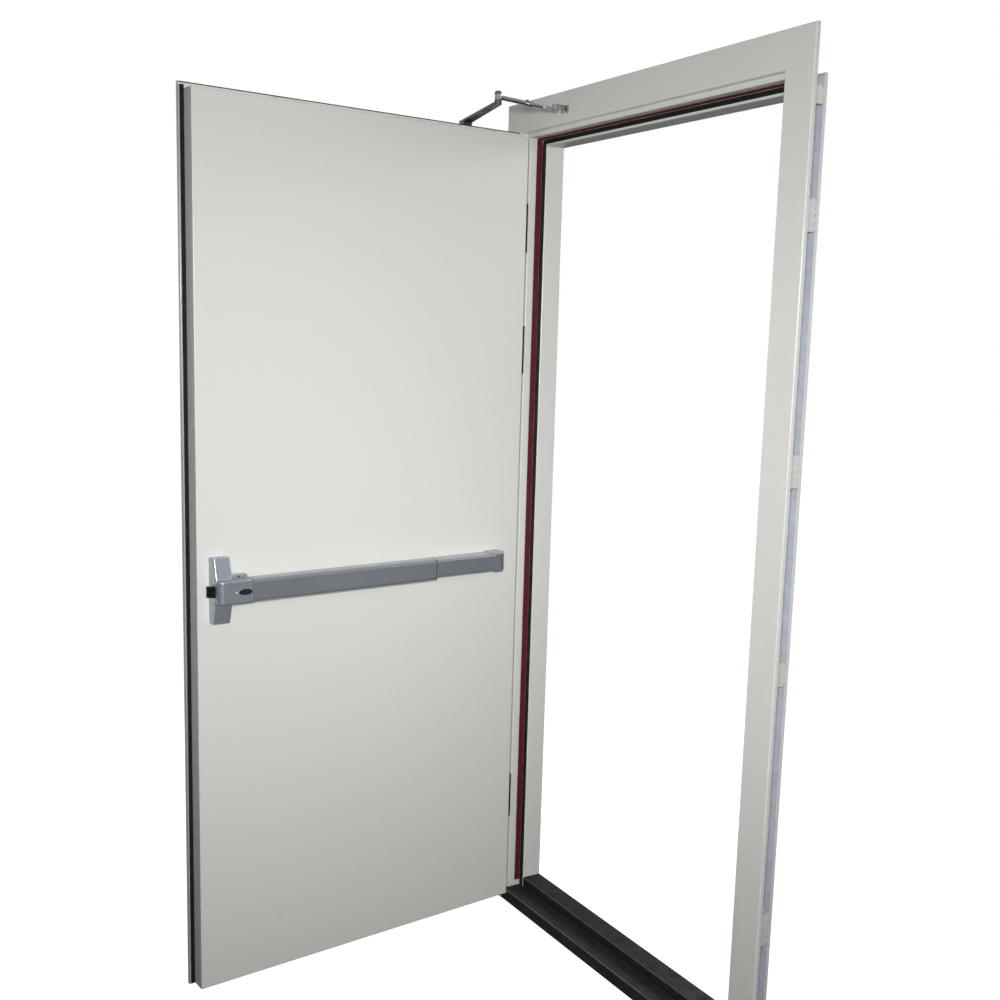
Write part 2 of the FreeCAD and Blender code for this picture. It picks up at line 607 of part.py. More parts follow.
def cranked_leaf_plate(name):
    """Plate on the lip's edge, behind the lip and on the leaf's edge, from the hinge's foot up."""
    near, far = "hinge_edge - lip_reach", "hinge_edge"
    outline = [
        (near + " - hinge_plate", "leaf_front"),
        (near, "leaf_front"),
        (near, "lip_back"),
        (far, "lip_back"),
        (far, FRAME_PLATE_BACK),
        (far + " - hinge_plate", FRAME_PLATE_BACK),
        (far + " - hinge_plate", "lip_back + hinge_plate"),
        (near + " - hinge_plate", "lip_back + hinge_plate"),
    ]
    return extrusion(name, [outline], "hinge_height")


def knuckle(name, start_x, foot, number):
    """One knuckle with the tab that joins it to a plate starting at start_x."""
    low = "%s + %d * %s" % (foot, number, KNUCKLE_STEP)
    barrel = rod(name + "_barrel", "barrel_radius", KNUCKLE, ("axis_x", "axis_y", low))
    tab_size = ("hinge_plate", "leaf_front + barrel_clear - axis_y", KNUCKLE)
    tab = box(name + "_tab", tab_size, (start_x, "axis_y", low))
    return [barrel, tab]


for place_name in ("upper", "middle", "lower"):
    level = "hinge_" + place_name
    foot = "%s - hinge_height / 2" % level
    bore = rod(place_name + "_bore", "pin_radius", "hinge_height", ("axis_x", "axis_y", foot))
    pieces = [cranked_frame_plate(place_name + "_frame_crank", level)]
    for number in (0, 2):
        pieces += knuckle("%s_frame_knuckle_%d" % (place_name, number), "-inner_half", foot, number)
    solid = join(place_name + "_frame_solid", pieces)
    part(place_name + "_hinge_frame_plate", cut(place_name + "_frame_plate", solid, bore))
    leaf_bore = rod(place_name + "_leaf_bore", "pin_radius", "hinge_height", ("axis_x", "axis_y", "0"))
    pieces = [cranked_leaf_plate(place_name + "_leaf_crank")]
    pieces += knuckle(place_name + "_leaf_knuckle", "hinge_edge - lip_reach - hinge_plate", "0", 1)
    leaf_solid = join(place_name + "_leaf_solid", pieces)
    leaf_plate = cut(place_name + "_leaf_plate", leaf_solid, leaf_bore)
    part(place_name + "_hinge_leaf_plate", on_leaf(leaf_plate, z=foot))
    head = "barrel_radius - pin_cap_set"
    top = "hinge_height + pin_cap"
    pin_outline = [
        ("0", "-pin_cap"),
        (head, "-pin_cap", "pin_cap_round"),
        (head, "0"),
        ("pin_radius - pin_clear", "0"),
        ("pin_radius - pin_clear", "hinge_height"),
        (head, "hinge_height"),
        (head, top, "pin_cap_round"),
        ("0", top),
    ]
    pin = turned_body(place_name + "_pin", pin_outline)
    part(place_name + "_hinge_pin", place(pin, "axis_x", "axis_y", foot))

# Touch bar on the push face: rail, sliding pad, fixed cover and end cap
PUSH = "leaf_back"


def bar_block(name, start, end, tall, near, front):
    """Block along the touch bar, from near to front off the leaf."""
    size = ("(%s) - (%s)" % (end, start), "(%s) - (%s)" % (front, near), tall)
    at = ("hinge_edge + %s" % start, "%s + %s" % (PUSH, near), "bar_z - (%s) / 2" % tall)
    return box(name, size, at)


def channel(name, start, end, tall, near, front, wall, bend, runner=None):
    """Open-backed channel along the touch bar, with runners (depth, inner level) at its open edges."""
    half, inner = "(%s) / 2" % tall, "(%s) / 2 - %s" % (tall, wall)
    inside_bend = "%s - %s" % (bend, wall)
    root, upper_runner, lower_runner = near, [], []
    if runner:
        root = "%s + %s" % (near, runner[0])
        upper_runner = [(near, runner[1]), (root, runner[1])]
        lower_runner = [(root, "-(%s)" % runner[1]), (near, "-(%s)" % runner[1])]
    section = [
        (near, "-" + half),
        (front, "-" + half, bend),
        (front, half, bend),
        (near, half),
        *upper_runner,
        (root, inner),
        ("%s - %s" % (front, wall), inner, inside_bend),
        ("%s - %s" % (front, wall), "-(%s)" % inner, inside_bend),
        (root, "-(%s)" % inner),
        *lower_runner,
    ]
    bar = extrusion(name, [section], "(%s) - (%s)" % (end, start), "YZ_Plane")
    return on_leaf(bar, "hinge_edge + %s" % start, PUSH, "bar_z")


RAIL_HALF = "rail_tall / 2"
RAIL_INNER = "(rail_tall / 2 - rail_wall)"
rail_section = [
    ("0", "-" + RAIL_HALF),
    ("rail_deep", "-" + RAIL_HALF),
    ("rail_deep", "-" + RAIL_INNER),
    ("rail_wall", "-" + RAIL_INNER),
    ("rail_wall", RAIL_INNER),
    ("rail_deep", RAIL_INNER),
    ("rail_deep", RAIL_HALF),
    ("0", RAIL_HALF),
]
rail = extrusion("bar_rail", [rail_section], "case_from - rail_from", "YZ_Plane")
part("touch_bar_rail", on_leaf(rail, "hinge_edge + rail_from", PUSH, "bar_z"))
pad_sizes = ("pad_from", "pad_to", "pad_tall", "pad_back", "pad_front", "pad_wall", "pad_round")
pad_runner = ("pad_runner", "rail_tall / 2 + runner_clear")
part("touch_bar_pad", channel("bar_pad", *pad_sizes, runner=pad_runner))
cover_sizes = ("cap_to", "pad_from - bar_joint_gap", "rail_cover_tall", "0", "rail_cover_front",
               "rail_cover_wall", "rail_cover_round")
part("touch_bar_rail_cover", channel("bar_cover", *cover_sizes))


def nosed_block(name, outline, tall, edge_round):
    """Block padded up from its plan on the leaf, with rounded top and bottom edges off the leaf."""
    block = extrusion(name, [outline], tall)
    on_face = level_edges("y", outline[0][1])
    ends = [level_edges("z", "0"), level_edges("z", tall)]
    return soften(block, edge_round, lambda middle: any(end(middle) for end in ends) and not on_face(middle))


cap_plan = [
    ("cap_to", "0"),
    ("cap_to", "cap_front"),
    ("cap_from", "cap_front", "cap_nose"),
    ("cap_from", "0"),
]
end_cap = nosed_block("cap_outer", cap_plan, "cap_tall", "cap_round")
place(end_cap, "hinge_edge", PUSH, "bar_z - cap_tall / 2")
cap_inner = bar_block("cap_inner", "rail_from - fit_gap", "cap_to + cut_over", "rail_tall + 2 * fit_gap",
                      "-cut_over", "rail_deep + fit_gap")
part("touch_bar_end_cap", on_leaf(cut("end_cap", end_cap, cap_inner)))

# Latch case with its base, wing cover, bolt and plug
base_tall = "(case_tall + 2 * base_rise)"
base_front = [("case_from", "0"), ("base_to", "0"), ("base_to", base_tall), ("case_from", base_tall)]
case_base = extrusion("case_base", [base_front], "base_deep", "XZ_Plane")
soften(case_base, "base_round", level_edges("y", "0"))
case_plan = [
    ("case_from", "base_deep"),
    ("case_to", "base_deep"),
    ("case_to", "case_front", "case_nose"),
    ("case_from", "case_front"),
]
case_block = nosed_block("case_block", case_plan, "case_tall", "case_round")
place(case_block, "hinge_edge", PUSH, "bar_z - case_tall / 2")
bolt_low = "bar_z - bolt_tall / 2"
POCKET_LONG = "bolt_in + bolt_travel + bolt_clear"
pocket_size = (POCKET_LONG + " + cut_over", "bolt_deep + 2 * bolt_clear", "bolt_tall + 2 * bolt_clear")
pocket_x = "hinge_edge + case_to - (%s)" % POCKET_LONG


def bolt_pocket(name):
    """Room for the latch bolt and its stroke."""
    return box(name, pocket_size, (pocket_x, PUSH + " + bolt_from - bolt_clear", bolt_low + " - bolt_clear"))


part("latch_case", on_leaf(cut("latch_case", case_block, bolt_pocket("case_pocket"))))
part("latch_case_base", on_leaf(case_base, "hinge_edge", PUSH + " + base_deep", "bar_z - %s / 2" % base_tall))
BOLT_LONG = "bolt_in + bolt_out"
bolt_plan = [
    ("0", "0"),
    (BOLT_LONG, "0"),
    (BOLT_LONG, "bolt_nose"),
    ("bolt_in", "bolt_deep"),
    ("0", "bolt_deep"),
]
latch_bolt = extrusion("latch_bolt", [bolt_plan], "bolt_tall")
part("latch_bolt", on_leaf(latch_bolt, "hinge_edge + case_to - bolt_in", PUSH + " + bolt_from", bolt_low))

WING_HALF = "wing_tall / 2"
WING_FOOT = "(case_tall / 2 + fit_gap)"
wing_section = [
    ("0", "-" + WING_HALF),
    ("wing_tip", "-" + WING_HALF),
    ("wing_root", "-" + WING_FOOT),
    ("base_deep", "-" + WING_FOOT),
    ("base_deep", WING_FOOT),
    ("wing_root", WING_FOOT),
    ("wing_tip", WING_HALF),
    ("0", WING_HALF),
]
wings = extrusion("wings", [wing_section], "wing_wide", "YZ_Plane")
at_tip = level_edges("y", "wing_tip")
on_slope = level_edges("y", "(wing_tip + wing_root) / 2")
soften(wings, "wing_round", lambda middle: on_slope(middle) or at_tip(middle))
place(wings, "hinge_edge + wing_from", PUSH, "bar_z")
part("latch_wing_cover", on_leaf(cut("wing_cover", wings, bolt_pocket("wing_pocket"))))
oval = doc.addObject("Part::Ellipse", "plug_oval")
bind(oval, MajorRadius="plug_length / 2", MinorRadius="plug_tall / 2")
plug_face = PUSH + " + case_front + plug_proud"
place(oval, "hinge_edge + plug_middle", plug_face, "bar_z", axis="1; 0; 0", angle="90")
plug = doc.addObject("Part::Extrusion", "oval_plug")
plug.Base = oval
plug.DirMode = "Normal"
plug.Solid = True
bind(plug, LengthFwd="plug_proud")
part("case_oval_plug", on_leaf(gather("plug_seat", [plug])))

# Keeper on the strike jamb's stop, in front of the closed latch bolt
nose_deep = "leaf_back + bolt_from - keeper_clear - stop_y"
keeper_plan = [
    ("0", "0"),
    ("keeper_reach", "0"),
    ("keeper_reach", "keeper_long"),
    ("keeper_reach - keeper_plate", "keeper_long"),
    ("keeper_reach - keeper_plate", nose_deep),
    ("0", nose_deep),
]
keeper = extrusion("strike_keeper", [keeper_plan], "keeper_tall")
part("strike_keeper", place(keeper, "reveal_half - keeper_reach", "stop_y", "bar_z - keeper_tall / 2"))

# Closer: body behind the leaf, main arm on its spindle, forearm on the head
closer_front = [
    ("0", "0", "closer_round"),
    ("closer_long", "0", "closer_round"),
    ("closer_long", "closer_tall", "closer_round"),
    ("0", "closer_tall", "closer_round"),
]
closer_block = extrusion("closer_block", [closer_front], "closer_deep", "XZ_Plane")
soften(closer_block, "closer_round", level_edges("y", "-closer_deep"))
place(closer_block, "hinge_edge + closer_from", "leaf_front", "closer_top - closer_tall")
SPINDLE_TALL = "arm_base - turn_gap - closer_top"
spindle_outline = [
    ("0", "-closer_round"),
    ("collar_radius", "-closer_round"),
    ("collar_radius", "collar_tall"),
    ("spindle_radius", "collar_tall"),
    ("spindle_radius", SPINDLE_TALL),
    ("0", SPINDLE_TALL),
]
spindle = place(turned_body("closer_spindle", spindle_outline), "spindle_x", "spindle_y", "closer_top")
part("closer_body", on_leaf(join("closer_body", [closer_block, spindle])))

TURNED_SPINDLE_X = "axis_x + (spindle_x - axis_x) * turn_cos + (spindle_y - axis_y) * turn_sin"
TURNED_SPINDLE_Y = "axis_y - (spindle_x - axis_x) * turn_sin + (spindle_y - axis_y) * turn_cos"
foot_plan = [
    ("-arm_foot / 2", "-arm_foot / 2", "arm_foot_round"),
    ("arm_foot / 2", "-arm_foot / 2", "arm_foot_round"),
    ("arm_foot / 2", "arm_foot / 2", "arm_foot_round"),
    ("-arm_foot / 2", "arm_foot / 2", "arm_foot_round"),
]
arm_foot = extrusion("arm_foot_block", [foot_plan], "arm_foot_tall")
ARM_LONG = "sqrt(main_arm^2 + arm_rise^2)"
arm_plan = [
    ("0", "-arm_foot / 2"),
    (ARM_LONG, "-arm_end / 2"),
    (ARM_LONG, "arm_end / 2"),
    ("0", "arm_foot / 2"),
]
arm_bar = extrusion("arm_bar", [arm_plan], "arm_thick")
arm_slope = "-atan2(arm_rise; main_arm) / 1 deg"
place(arm_bar, "0", "0", "arm_foot_tall - arm_thick", axis="0; 1; 0", angle=arm_slope)
SHOULDER = "arm_thick + elbow_lift"
CAP_LOW = "arm_thick + elbow_lift + 2 * turn_gap + eye_tall"
boss_outline = [
    ("0", "0"),
    ("arm_end / 2", "0"),
    ("arm_end / 2", "arm_thick"),
    ("elbow_cap", "arm_thick"),
    ("elbow_cap", SHOULDER),
    ("elbow_pin", SHOULDER),
    ("elbow_pin", CAP_LOW),
    ("elbow_cap", CAP_LOW),
    ("elbow_cap", CAP_LOW + " + elbow_cap_tall", "elbow_cap_round"),
    ("0", CAP_LOW + " + elbow_cap_tall"),
]
arm_boss = place(turned_body("arm_boss", boss_outline), "main_arm", "0", "arm_climb")
main_arm = part("closer_main_arm", join("main_arm", [arm_foot, arm_bar, arm_boss]))
place(main_arm, TURNED_SPINDLE_X, TURNED_SPINDLE_Y, "arm_base", angle="main_arm_turn")

# Forearm, laid out from the shoe pivot towards the elbow along +X
elbow_eye = rod("elbow_eye", "elbow_radius", "eye_tall", ("forearm", "0", "forearm_drop - eye_tall / 2"))
elbow_hole = rod("elbow_hole", "elbow_pin + elbow_clear", "eye_tall + 2 * cut_over",
                 ("forearm", "0", "forearm_drop - eye_tall / 2 - cut_over"))


def along_forearm(name, radius, start, end):
    """Round bar on the forearm's sloping line, between two distances from the shoe pivot."""
    long = "((%s) - (%s)) / cos(forearm_tilt)" % (end, start)
    return rod(name, radius, long, (start, "0", "(%s) * tan(forearm_tilt)" % start), axis="0; 1; 0",
               angle="90 - forearm_tilt")


tube_start = "(forearm - tube_share)"
clamp_end = "forearm - tube_share + clamp_long"
tube = along_forearm("forearm_tube_bar", "tube_radius", tube_start, "forearm - elbow_pin - elbow_clear")
clamp = along_forearm("forearm_clamp", "clamp_radius", tube_start, clamp_end)
clamp_lug = box("clamp_lug", ("clamp_long - 2 * clamp_lug", "clamp_radius + clamp_lug", "2 * clamp_lug"))
lug_start = "(%s + clamp_lug)" % tube_start
place(clamp_lug, lug_start, "0", "%s * tan(forearm_tilt) - clamp_lug" % lug_start, axis="0; 1; 0",
      angle="-forearm_tilt")
tube_solid = cut("forearm_tube", join("tube_and_eye", [elbow_eye, tube, clamp, clamp_lug]), elbow_hole)
part("closer_forearm_tube", place(tube_solid, "shoe_pivot_x", "shoe_pivot_y", "shoe_z", angle="forearm_turn"))
shoe_eye = rod("shoe_eye", "elbow_radius", "rod_flat", ("0", "0", "-rod_flat / 2"))
shoe_hole_at = ("0", "0", "-rod_flat / 2 - cut_over")
shoe_hole = rod("shoe_hole", "shoe_pin + pin_clear", "rod_flat + 2 * cut_over", shoe_hole_at)
flat_size = ("rod_flat_long", "rod_flat_wide", "rod_flat")
flat_end = box("rod_flat_bar", flat_size, ("0", "-rod_flat_wide / 2", "-rod_flat / 2"))
rod_bar = along_forearm("forearm_rod_bar", "rod_radius", "rod_flat_long / 2", tube_start)
rod_solid = cut("forearm_rod", join("rod_and_eye", [shoe_eye, flat_end, rod_bar]), shoe_hole)
part("closer_forearm_rod", place(rod_solid, "shoe_pivot_x", "shoe_pivot_y", "shoe_z", angle="forearm_turn"))

# Shoe on the head: plate, lug over the rod's flat end, and its pin from below
LUG_LOW = "rod_flat / 2 + turn_gap"
SHOE_TALL = "shoe_low + %s + shoe_lug" % LUG_LOW
shoe_front = [
    ("0", "0", "shoe_round"),
    ("shoe_wide", "0", "shoe_round"),
    ("shoe_wide", SHOE_TALL, "shoe_round"),
    ("0", SHOE_TALL, "shoe_round"),
]
shoe_back = extrusion("shoe_back", [shoe_front], "shoe_plate", "XZ_Plane")
place(shoe_back, "shoe_pivot_x - shoe_wide / 2", "pull_face", "shoe_z - shoe_low")
lug_at = ("shoe_pivot_x - elbow_radius", "shoe_pivot_y", "shoe_z + " + LUG_LOW)
lug = box("shoe_lug_bar", ("2 * elbow_radius", "shoe_off", "shoe_lug"), lug_at)
pin_low = "-(%s) - shoe_head_tall" % LUG_LOW
pin_outline = [
    ("0", pin_low),
    ("shoe_head", pin_low),
    ("shoe_head", "-(%s)" % LUG_LOW),
    ("shoe_pin", "-(%s)" % LUG_LOW),
    ("shoe_pin", LUG_LOW),
    ("elbow_radius", LUG_LOW),
    ("elbow_radius", LUG_LOW + " + shoe_lug"),
    ("0", LUG_LOW + " + shoe_lug"),
]
shoe_pin = place(turned_body("shoe_pin", pin_outline), "shoe_pivot_x", "shoe_pivot_y", "shoe_z")
part("closer_shoe", join("closer_shoe", [shoe_back, lug, shoe_pin]))


def check_objects():
    """Stop at any failed object or unsound sub-part."""
    doc.recompute()
    for obj in doc.Objects:
        if "Invalid" in obj.State or "Error" in obj.State:
            raise RuntimeError("%s failed: %s" % (obj.Name, obj.State))
    for obj in PARTS:
        if obj.Shape.isNull() or not obj.Shape.isValid():
            raise RuntimeError("%s has no sound shape" % obj.Label)


check_objects()
os.makedirs("parts", exist_ok=True)
for obj in PARTS:
    obj.Shape.exportStep(os.path.join("parts", obj.Label + ".step"))
    print(obj.Label, len(obj.Shape.Solids), round(obj.Shape.Volume), obj.Shape.BoundBox)
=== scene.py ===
"""Steel utility door, dressed: paint, metal and rubber finishes, seals, welds and small fasteners."""
import json
import logging
import math
from dataclasses import dataclass
from enum import Enum
from typing import Sequence

import bmesh
import bpy
from bmesh.types import BMEdge, BMFace, BMVert
from bpy.types import Material, NodeSocket, Object
from mathutils import Matrix, Vector


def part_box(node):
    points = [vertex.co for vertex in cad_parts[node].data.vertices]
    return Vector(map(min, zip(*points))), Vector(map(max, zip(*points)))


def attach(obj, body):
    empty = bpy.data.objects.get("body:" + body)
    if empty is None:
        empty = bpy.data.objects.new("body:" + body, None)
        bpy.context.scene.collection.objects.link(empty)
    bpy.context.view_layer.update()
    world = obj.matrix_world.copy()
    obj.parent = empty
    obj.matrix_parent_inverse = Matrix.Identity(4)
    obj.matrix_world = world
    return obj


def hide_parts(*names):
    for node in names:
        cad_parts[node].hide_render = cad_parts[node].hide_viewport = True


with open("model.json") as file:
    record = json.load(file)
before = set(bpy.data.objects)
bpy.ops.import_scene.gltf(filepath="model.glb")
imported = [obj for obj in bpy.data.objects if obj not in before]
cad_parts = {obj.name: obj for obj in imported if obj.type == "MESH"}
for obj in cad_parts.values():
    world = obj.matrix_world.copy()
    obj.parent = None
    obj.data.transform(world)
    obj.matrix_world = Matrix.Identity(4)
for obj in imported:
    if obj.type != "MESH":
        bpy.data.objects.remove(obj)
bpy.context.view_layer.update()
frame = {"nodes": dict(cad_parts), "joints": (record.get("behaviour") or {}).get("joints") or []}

log = logging.getLogger("steel_door")
MM = 0.001
TINY = 1e-6
Point = tuple[float, float]
Point3 = tuple[float, float, float]
Range = tuple[float, float, float, float]
Colour = tuple[float, float, float]
LIP_SECTION = ((0.0, 0.0), (1.0, 0.0), (1.0, 0.35), (0.78, 0.4), (0.72, 1.0), (0.62, 1.0), (0.57, 0.45),
               (0.43, 0.45), (0.38, 1.0), (0.28, 1.0), (0.22, 0.4), (0.0, 0.35))
RIDGE_SECTION = ((0.0, 0.0), (1.0, 0.0), (1.0, 0.85), (0.86, 1.0), (0.8, 1.0), (0.74, 0.72), (0.66, 0.72),
                 (0.6, 1.0), (0.4, 1.0), (0.34, 0.72), (0.26, 0.72), (0.2, 1.0), (0.14, 1.0), (0.0, 0.85))


class Body(Enum):
    """Rigid bodies of the door that a piece can ride on."""

    FRAME = "frame"
    LEAF = "leaf"
    PAD = "push_pad"
    MAIN_ARM = "main_arm"
    FOREARM = "forearm"


class Slot(Enum):
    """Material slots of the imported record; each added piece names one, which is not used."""

    LEAF_PAINT = "painted_leaf"
    FRAME_PAINT = "painted_frame"
    GALVANISED = "galvanised"
    FIRE_SEAL = "fire_seal"
    GASKET = "black_gasket"
    HINGE = "hinge_steel"
    SILVER = "silver_bar"
    LATCH = "dark_latch"
    PLUG = "dark_plug"
    CLOSER = "closer_metal"
    ARM = "bright_arm"


class Recess(Enum):
    """Driver recess in a screw head."""

    CROSS = "cross"
    HEX = "hex"
    SLOT = "slot"


class Side(Enum):
    """Side of the doorway, with the sign of its X."""

    HINGE = -1
    STRIKE = 1


class Strip(Enum):
    """Kinds of strip, with the end of its name, its section of unit size and its slot."""

    SEAL = ("_ridged", RIDGE_SECTION, Slot.FIRE_SEAL)
    GASKET = ("_lipped", LIP_SECTION, Slot.GASKET)


def srgb(red: int, green: int, blue: int) -> Colour:
    """Turn a display colour into scene-linear values.

    Args:
        red: Red from 0 to 255.
        green: Green from 0 to 255.
        blue: Blue from 0 to 255.

    Returns:
        The colour as three linear numbers.
    """
    def linear(level: int) -> float:
        """Red, green or blue alone, by the display's transfer curve."""
        share = level / 255
        return share / 12.92 if share <= 0.04045 else ((share + 0.055) / 1.055) ** 2.4
    return linear(red), linear(green), linear(blue)


@dataclass(frozen=True)
class Grain:
    """A noise pattern: waves per metre, octaves, the range it is mapped from and to, and its stretch."""

    scale: float
    detail: float
    span: Range = (0.0, 1.0, 0.0, 1.0)
    stretch: Point3 = (1.0, 1.0, 1.0)


@dataclass(frozen=True)
class Skin:
    """A fine bump: waves per metre, octaves, the share that shows and its height in millimetres."""

    scale: float
    detail: float
    strength: float
    depth: float


class Shader:
    """One material under construction, with short ways to add and join its nodes.

    FIRST, SECOND and MIXED are the numbers of a Mix node's colour sockets.
    """

    FIRST = 6
    SECOND = 7
    MIXED = 2

    def __init__(self, name: str) -> None:
        """Start a material with its surface shader and Object coordinates.

        Args:
            name: The material's name.
        """
        self.material = bpy.data.materials.new(name)
        self.material.use_nodes = True
        self.tree = self.material.node_tree
        self.surface = self.tree.nodes["Principled BSDF"]
        self.place = self.add("ShaderNodeTexCoord").outputs["Object"]

    def add(self, kind: str, **settings: object) -> bpy.types.Node:
        """Add a node and set its own properties.

        Args:
            kind: The node's type name.
            settings: Properties of the node, such as its operation.

        Returns:
            The new node.
        """
        node = self.tree.nodes.new(kind)
        for key, value in settings.items():
            setattr(node, key, value)
        return node

    def feed(self, socket: NodeSocket, value: object) -> None:
        """Give a socket a number, a colour or another node's output.

        Args:
            socket: The input to fill.
            value: A socket to link, or a value to set.
        """
        if isinstance(value, NodeSocket):
            self.tree.links.new(value, socket)
        elif isinstance(value, tuple) and socket.type == "RGBA":
            socket.default_value = (*value, 1.0)
        else:
            socket.default_value = value

    def mapped(self, stretch: Point3 = (1, 1, 1), turn: float = 0.0, shift: Point3 = (0, 0, 0)) -> NodeSocket:
        """Object coordinates after a Mapping node.

        Args:
            stretch: Scale along the three axes.
            turn: Turn about Z, in radians.
            shift: Offset added after scale and turn, in metres.

        Returns:
            The vector socket.
        """
        node = self.add("ShaderNodeMapping")
        self.feed(node.inputs["Vector"], self.place)
        node.inputs["Scale"].default_value = stretch
        node.inputs["Rotation"].default_value = (0, 0, turn)
        node.inputs["Location"].default_value = shift
        return node.outputs["Vector"]

    def noise(self, scale: float, detail: float, stretch: Point3 = (1, 1, 1)) -> NodeSocket:
        """Soft noise in Object space.

        Args:
            scale: Waves per metre.
            detail: Octaves of finer noise.
            stretch: Scale along the three axes before the noise.

        Returns:
            The noise value, about 0.3 to 0.7.
        """
        node = self.add("ShaderNodeTexNoise")
        self.feed(node.inputs["Vector"], self.mapped(stretch))
        node.inputs["Scale"].default_value = scale
        node.inputs["Detail"].default_value = detail
        return node.outputs["Fac"]

    def grain(self, grain: Grain) -> NodeSocket:
        """A noise pattern brought to its range."""
        return self.span(self.noise(grain.scale, grain.detail, grain.stretch), *grain.span)

    def cells(self, scale: float) -> NodeSocket:
        """Random grey per crystal-like cell.

        Args:
            scale: Cells per metre.

        Returns:
            A value from 0 to 1, the same over each cell.
        """
        node = self.add("ShaderNodeTexVoronoi")
        self.feed(node.inputs["Vector"], self.place)
        node.inputs["Scale"].default_value = scale
        grey = self.add("ShaderNodeSeparateColor")
        self.feed(grey.inputs[0], node.outputs["Color"])
        return grey.outputs[0]

    def span(self, value: NodeSocket, low: float, high: float, to_low: float = 0.0,
             to_high: float = 1.0) -> NodeSocket:
        """Map a value's range to another, clamped.

        Args:
            value: The value to map.
            low: Where the input range starts.
            high: Where the input range ends.
            to_low: What low becomes.
            to_high: What high becomes.

        Returns:
            The mapped value.
        """
        node = self.add("ShaderNodeMapRange", clamp=True)
        for index, number in enumerate((value, low, high, to_low, to_high)):
            self.feed(node.inputs[index], number)
        return node.outputs["Result"]

    def sum(self, operation: str, first: object, second: object = 0.0) -> NodeSocket:
        """One step of arithmetic.

        Args:
            operation: The Math node's operation.
            first: A socket or number.
            second: A socket or number.

        Returns:
            The result.
        """
        node = self.add("ShaderNodeMath", operation=operation)
        self.feed(node.inputs[0], first)
        self.feed(node.inputs[1], second)
        return node.outputs[0]

    def times(self, first: object, second: object) -> NodeSocket:
        """Product of two sockets or numbers."""
        return self.sum("MULTIPLY", first, second)

    def apart(self, value: NodeSocket, level: float) -> NodeSocket:
        """How far a value lies from a level."""
        return self.sum("ABSOLUTE", self.sum("SUBTRACT", value, level))

    def blend(self, share: NodeSocket, first: object, second: object) -> NodeSocket:
        """Mix two colours.

        Args:
            share: How much of the second colour, 0 to 1.
            first: A colour or socket.
            second: A colour or socket.

        Returns:
            The mixed colour.
        """
        node = self.add("ShaderNodeMix", data_type="RGBA")
        self.feed(node.inputs["Factor"], share)
        self.feed(node.inputs[self.FIRST], first)
        self.feed(node.inputs[self.SECOND], second)
        return node.outputs[self.MIXED]

    def axes(self, vector: NodeSocket) -> tuple[NodeSocket, NodeSocket, NodeSocket]:
        """Split a vector into its three parts.

        Args:
            vector: The vector's socket.

        Returns:
            X, Y and Z.
        """
        node = self.add("ShaderNodeSeparateXYZ")
        self.feed(node.inputs[0], vector)
        return node.outputs[0], node.outputs[1], node.outputs[2]

    def relief(self, height: NodeSocket, strength: float, depth: float,
               under: NodeSocket | None = None) -> NodeSocket:
        """Bump from a height.

        Args:
            height: The height value.
            strength: Share of the bump that shows, 0 to 1.
            depth: Height in millimetres of a value of 1.
            under: Normal of a coarser bump below this one.

        Returns:
            The normal.
        """
        node = self.add("ShaderNodeBump")
        node.inputs["Strength"].default_value = strength
        node.inputs["Distance"].default_value = depth * MM
        self.feed(node.inputs["Height"], height)
        if under is not None:
            self.feed(node.inputs["Normal"], under)
        return node.outputs["Normal"]

    def skin(self, skin: Skin, under: NodeSocket | None = None) -> NodeSocket:
        """Normal of a fine bump, over a coarser one if there is one."""
        return self.relief(self.noise(skin.scale, skin.detail), skin.strength, skin.depth, under)

    def set(self, **inputs: object) -> None:
        """Fill the surface shader's inputs, an underscore standing for a space in each name."""
        for key, value in inputs.items():
            self.feed(self.surface.inputs[key.replace("_", " ")], value)


@dataclass(frozen=True)
class Finish:
    """A finish that can be made into a material."""

    name: str
    colour: Colour
    shade: Colour

    def make(self) -> Material:
        """Build the material.

        Returns:
            The new material.
        """
        shader = Shader(self.name)
        self.fill(shader)
        return shader.material

    def fill(self, shader: Shader) -> None:
        """Fill the surface shader; each finish does it in its own way."""
        raise NotImplementedError


@dataclass(frozen=True)
class GlossPaint(Finish):
    """Off-white gloss paint on steel sheet, with an orange-peel skin and a little grime."""

    grime: Colour = srgb(150, 146, 132)
    specular: float = 0.5
    cloud: Grain = Grain(1.3, 2.0)
    scuff: Grain = Grain(38.0, 6.0, (0.58, 0.78, 0.0, 0.1))
    scuff_reach: Point = (0.03, 0.4)
    speck: Grain = Grain(340.0, 2.0, (0.3, 0.7, 0.0, 0.07))
    gloss: Grain = Grain(2.0, 1.0, (0.0, 1.0, 0.27, 0.31))
    sway: Skin = Skin(1.6, 1.0, 0.5, 0.3)
    peel: Skin = Skin(420.0, 2.0, 0.12, 0.04)

    def coat(self, shader: Shader) -> tuple[NodeSocket, NodeSocket, NodeSocket]:
        """Colour, roughness and normal of the paint.

        Args:
            shader: The material to add nodes to.

        Returns:
            The three sockets.
        """
        tone = shader.blend(shader.grain(self.cloud), self.colour, self.shade)
        low = shader.span(shader.axes(shader.place)[2], *self.scuff_reach, 1.0, 0.0)
        dirt = shader.times(low, shader.grain(self.scuff))
        tone = shader.blend(shader.sum("ADD", shader.grain(self.speck), dirt), tone, self.grime)
        return tone, shader.grain(self.gloss), shader.skin(self.peel, shader.skin(self.sway))

    def fill(self, shader: Shader) -> None:
        """Fill the surface shader with plain paint.

        Args:
            shader: The material to add nodes to.
        """
        tone, rough, normal = self.coat(shader)
        shader.set(Base_Color=tone, Roughness=rough, Normal=normal, Specular_IOR_Level=self.specular)


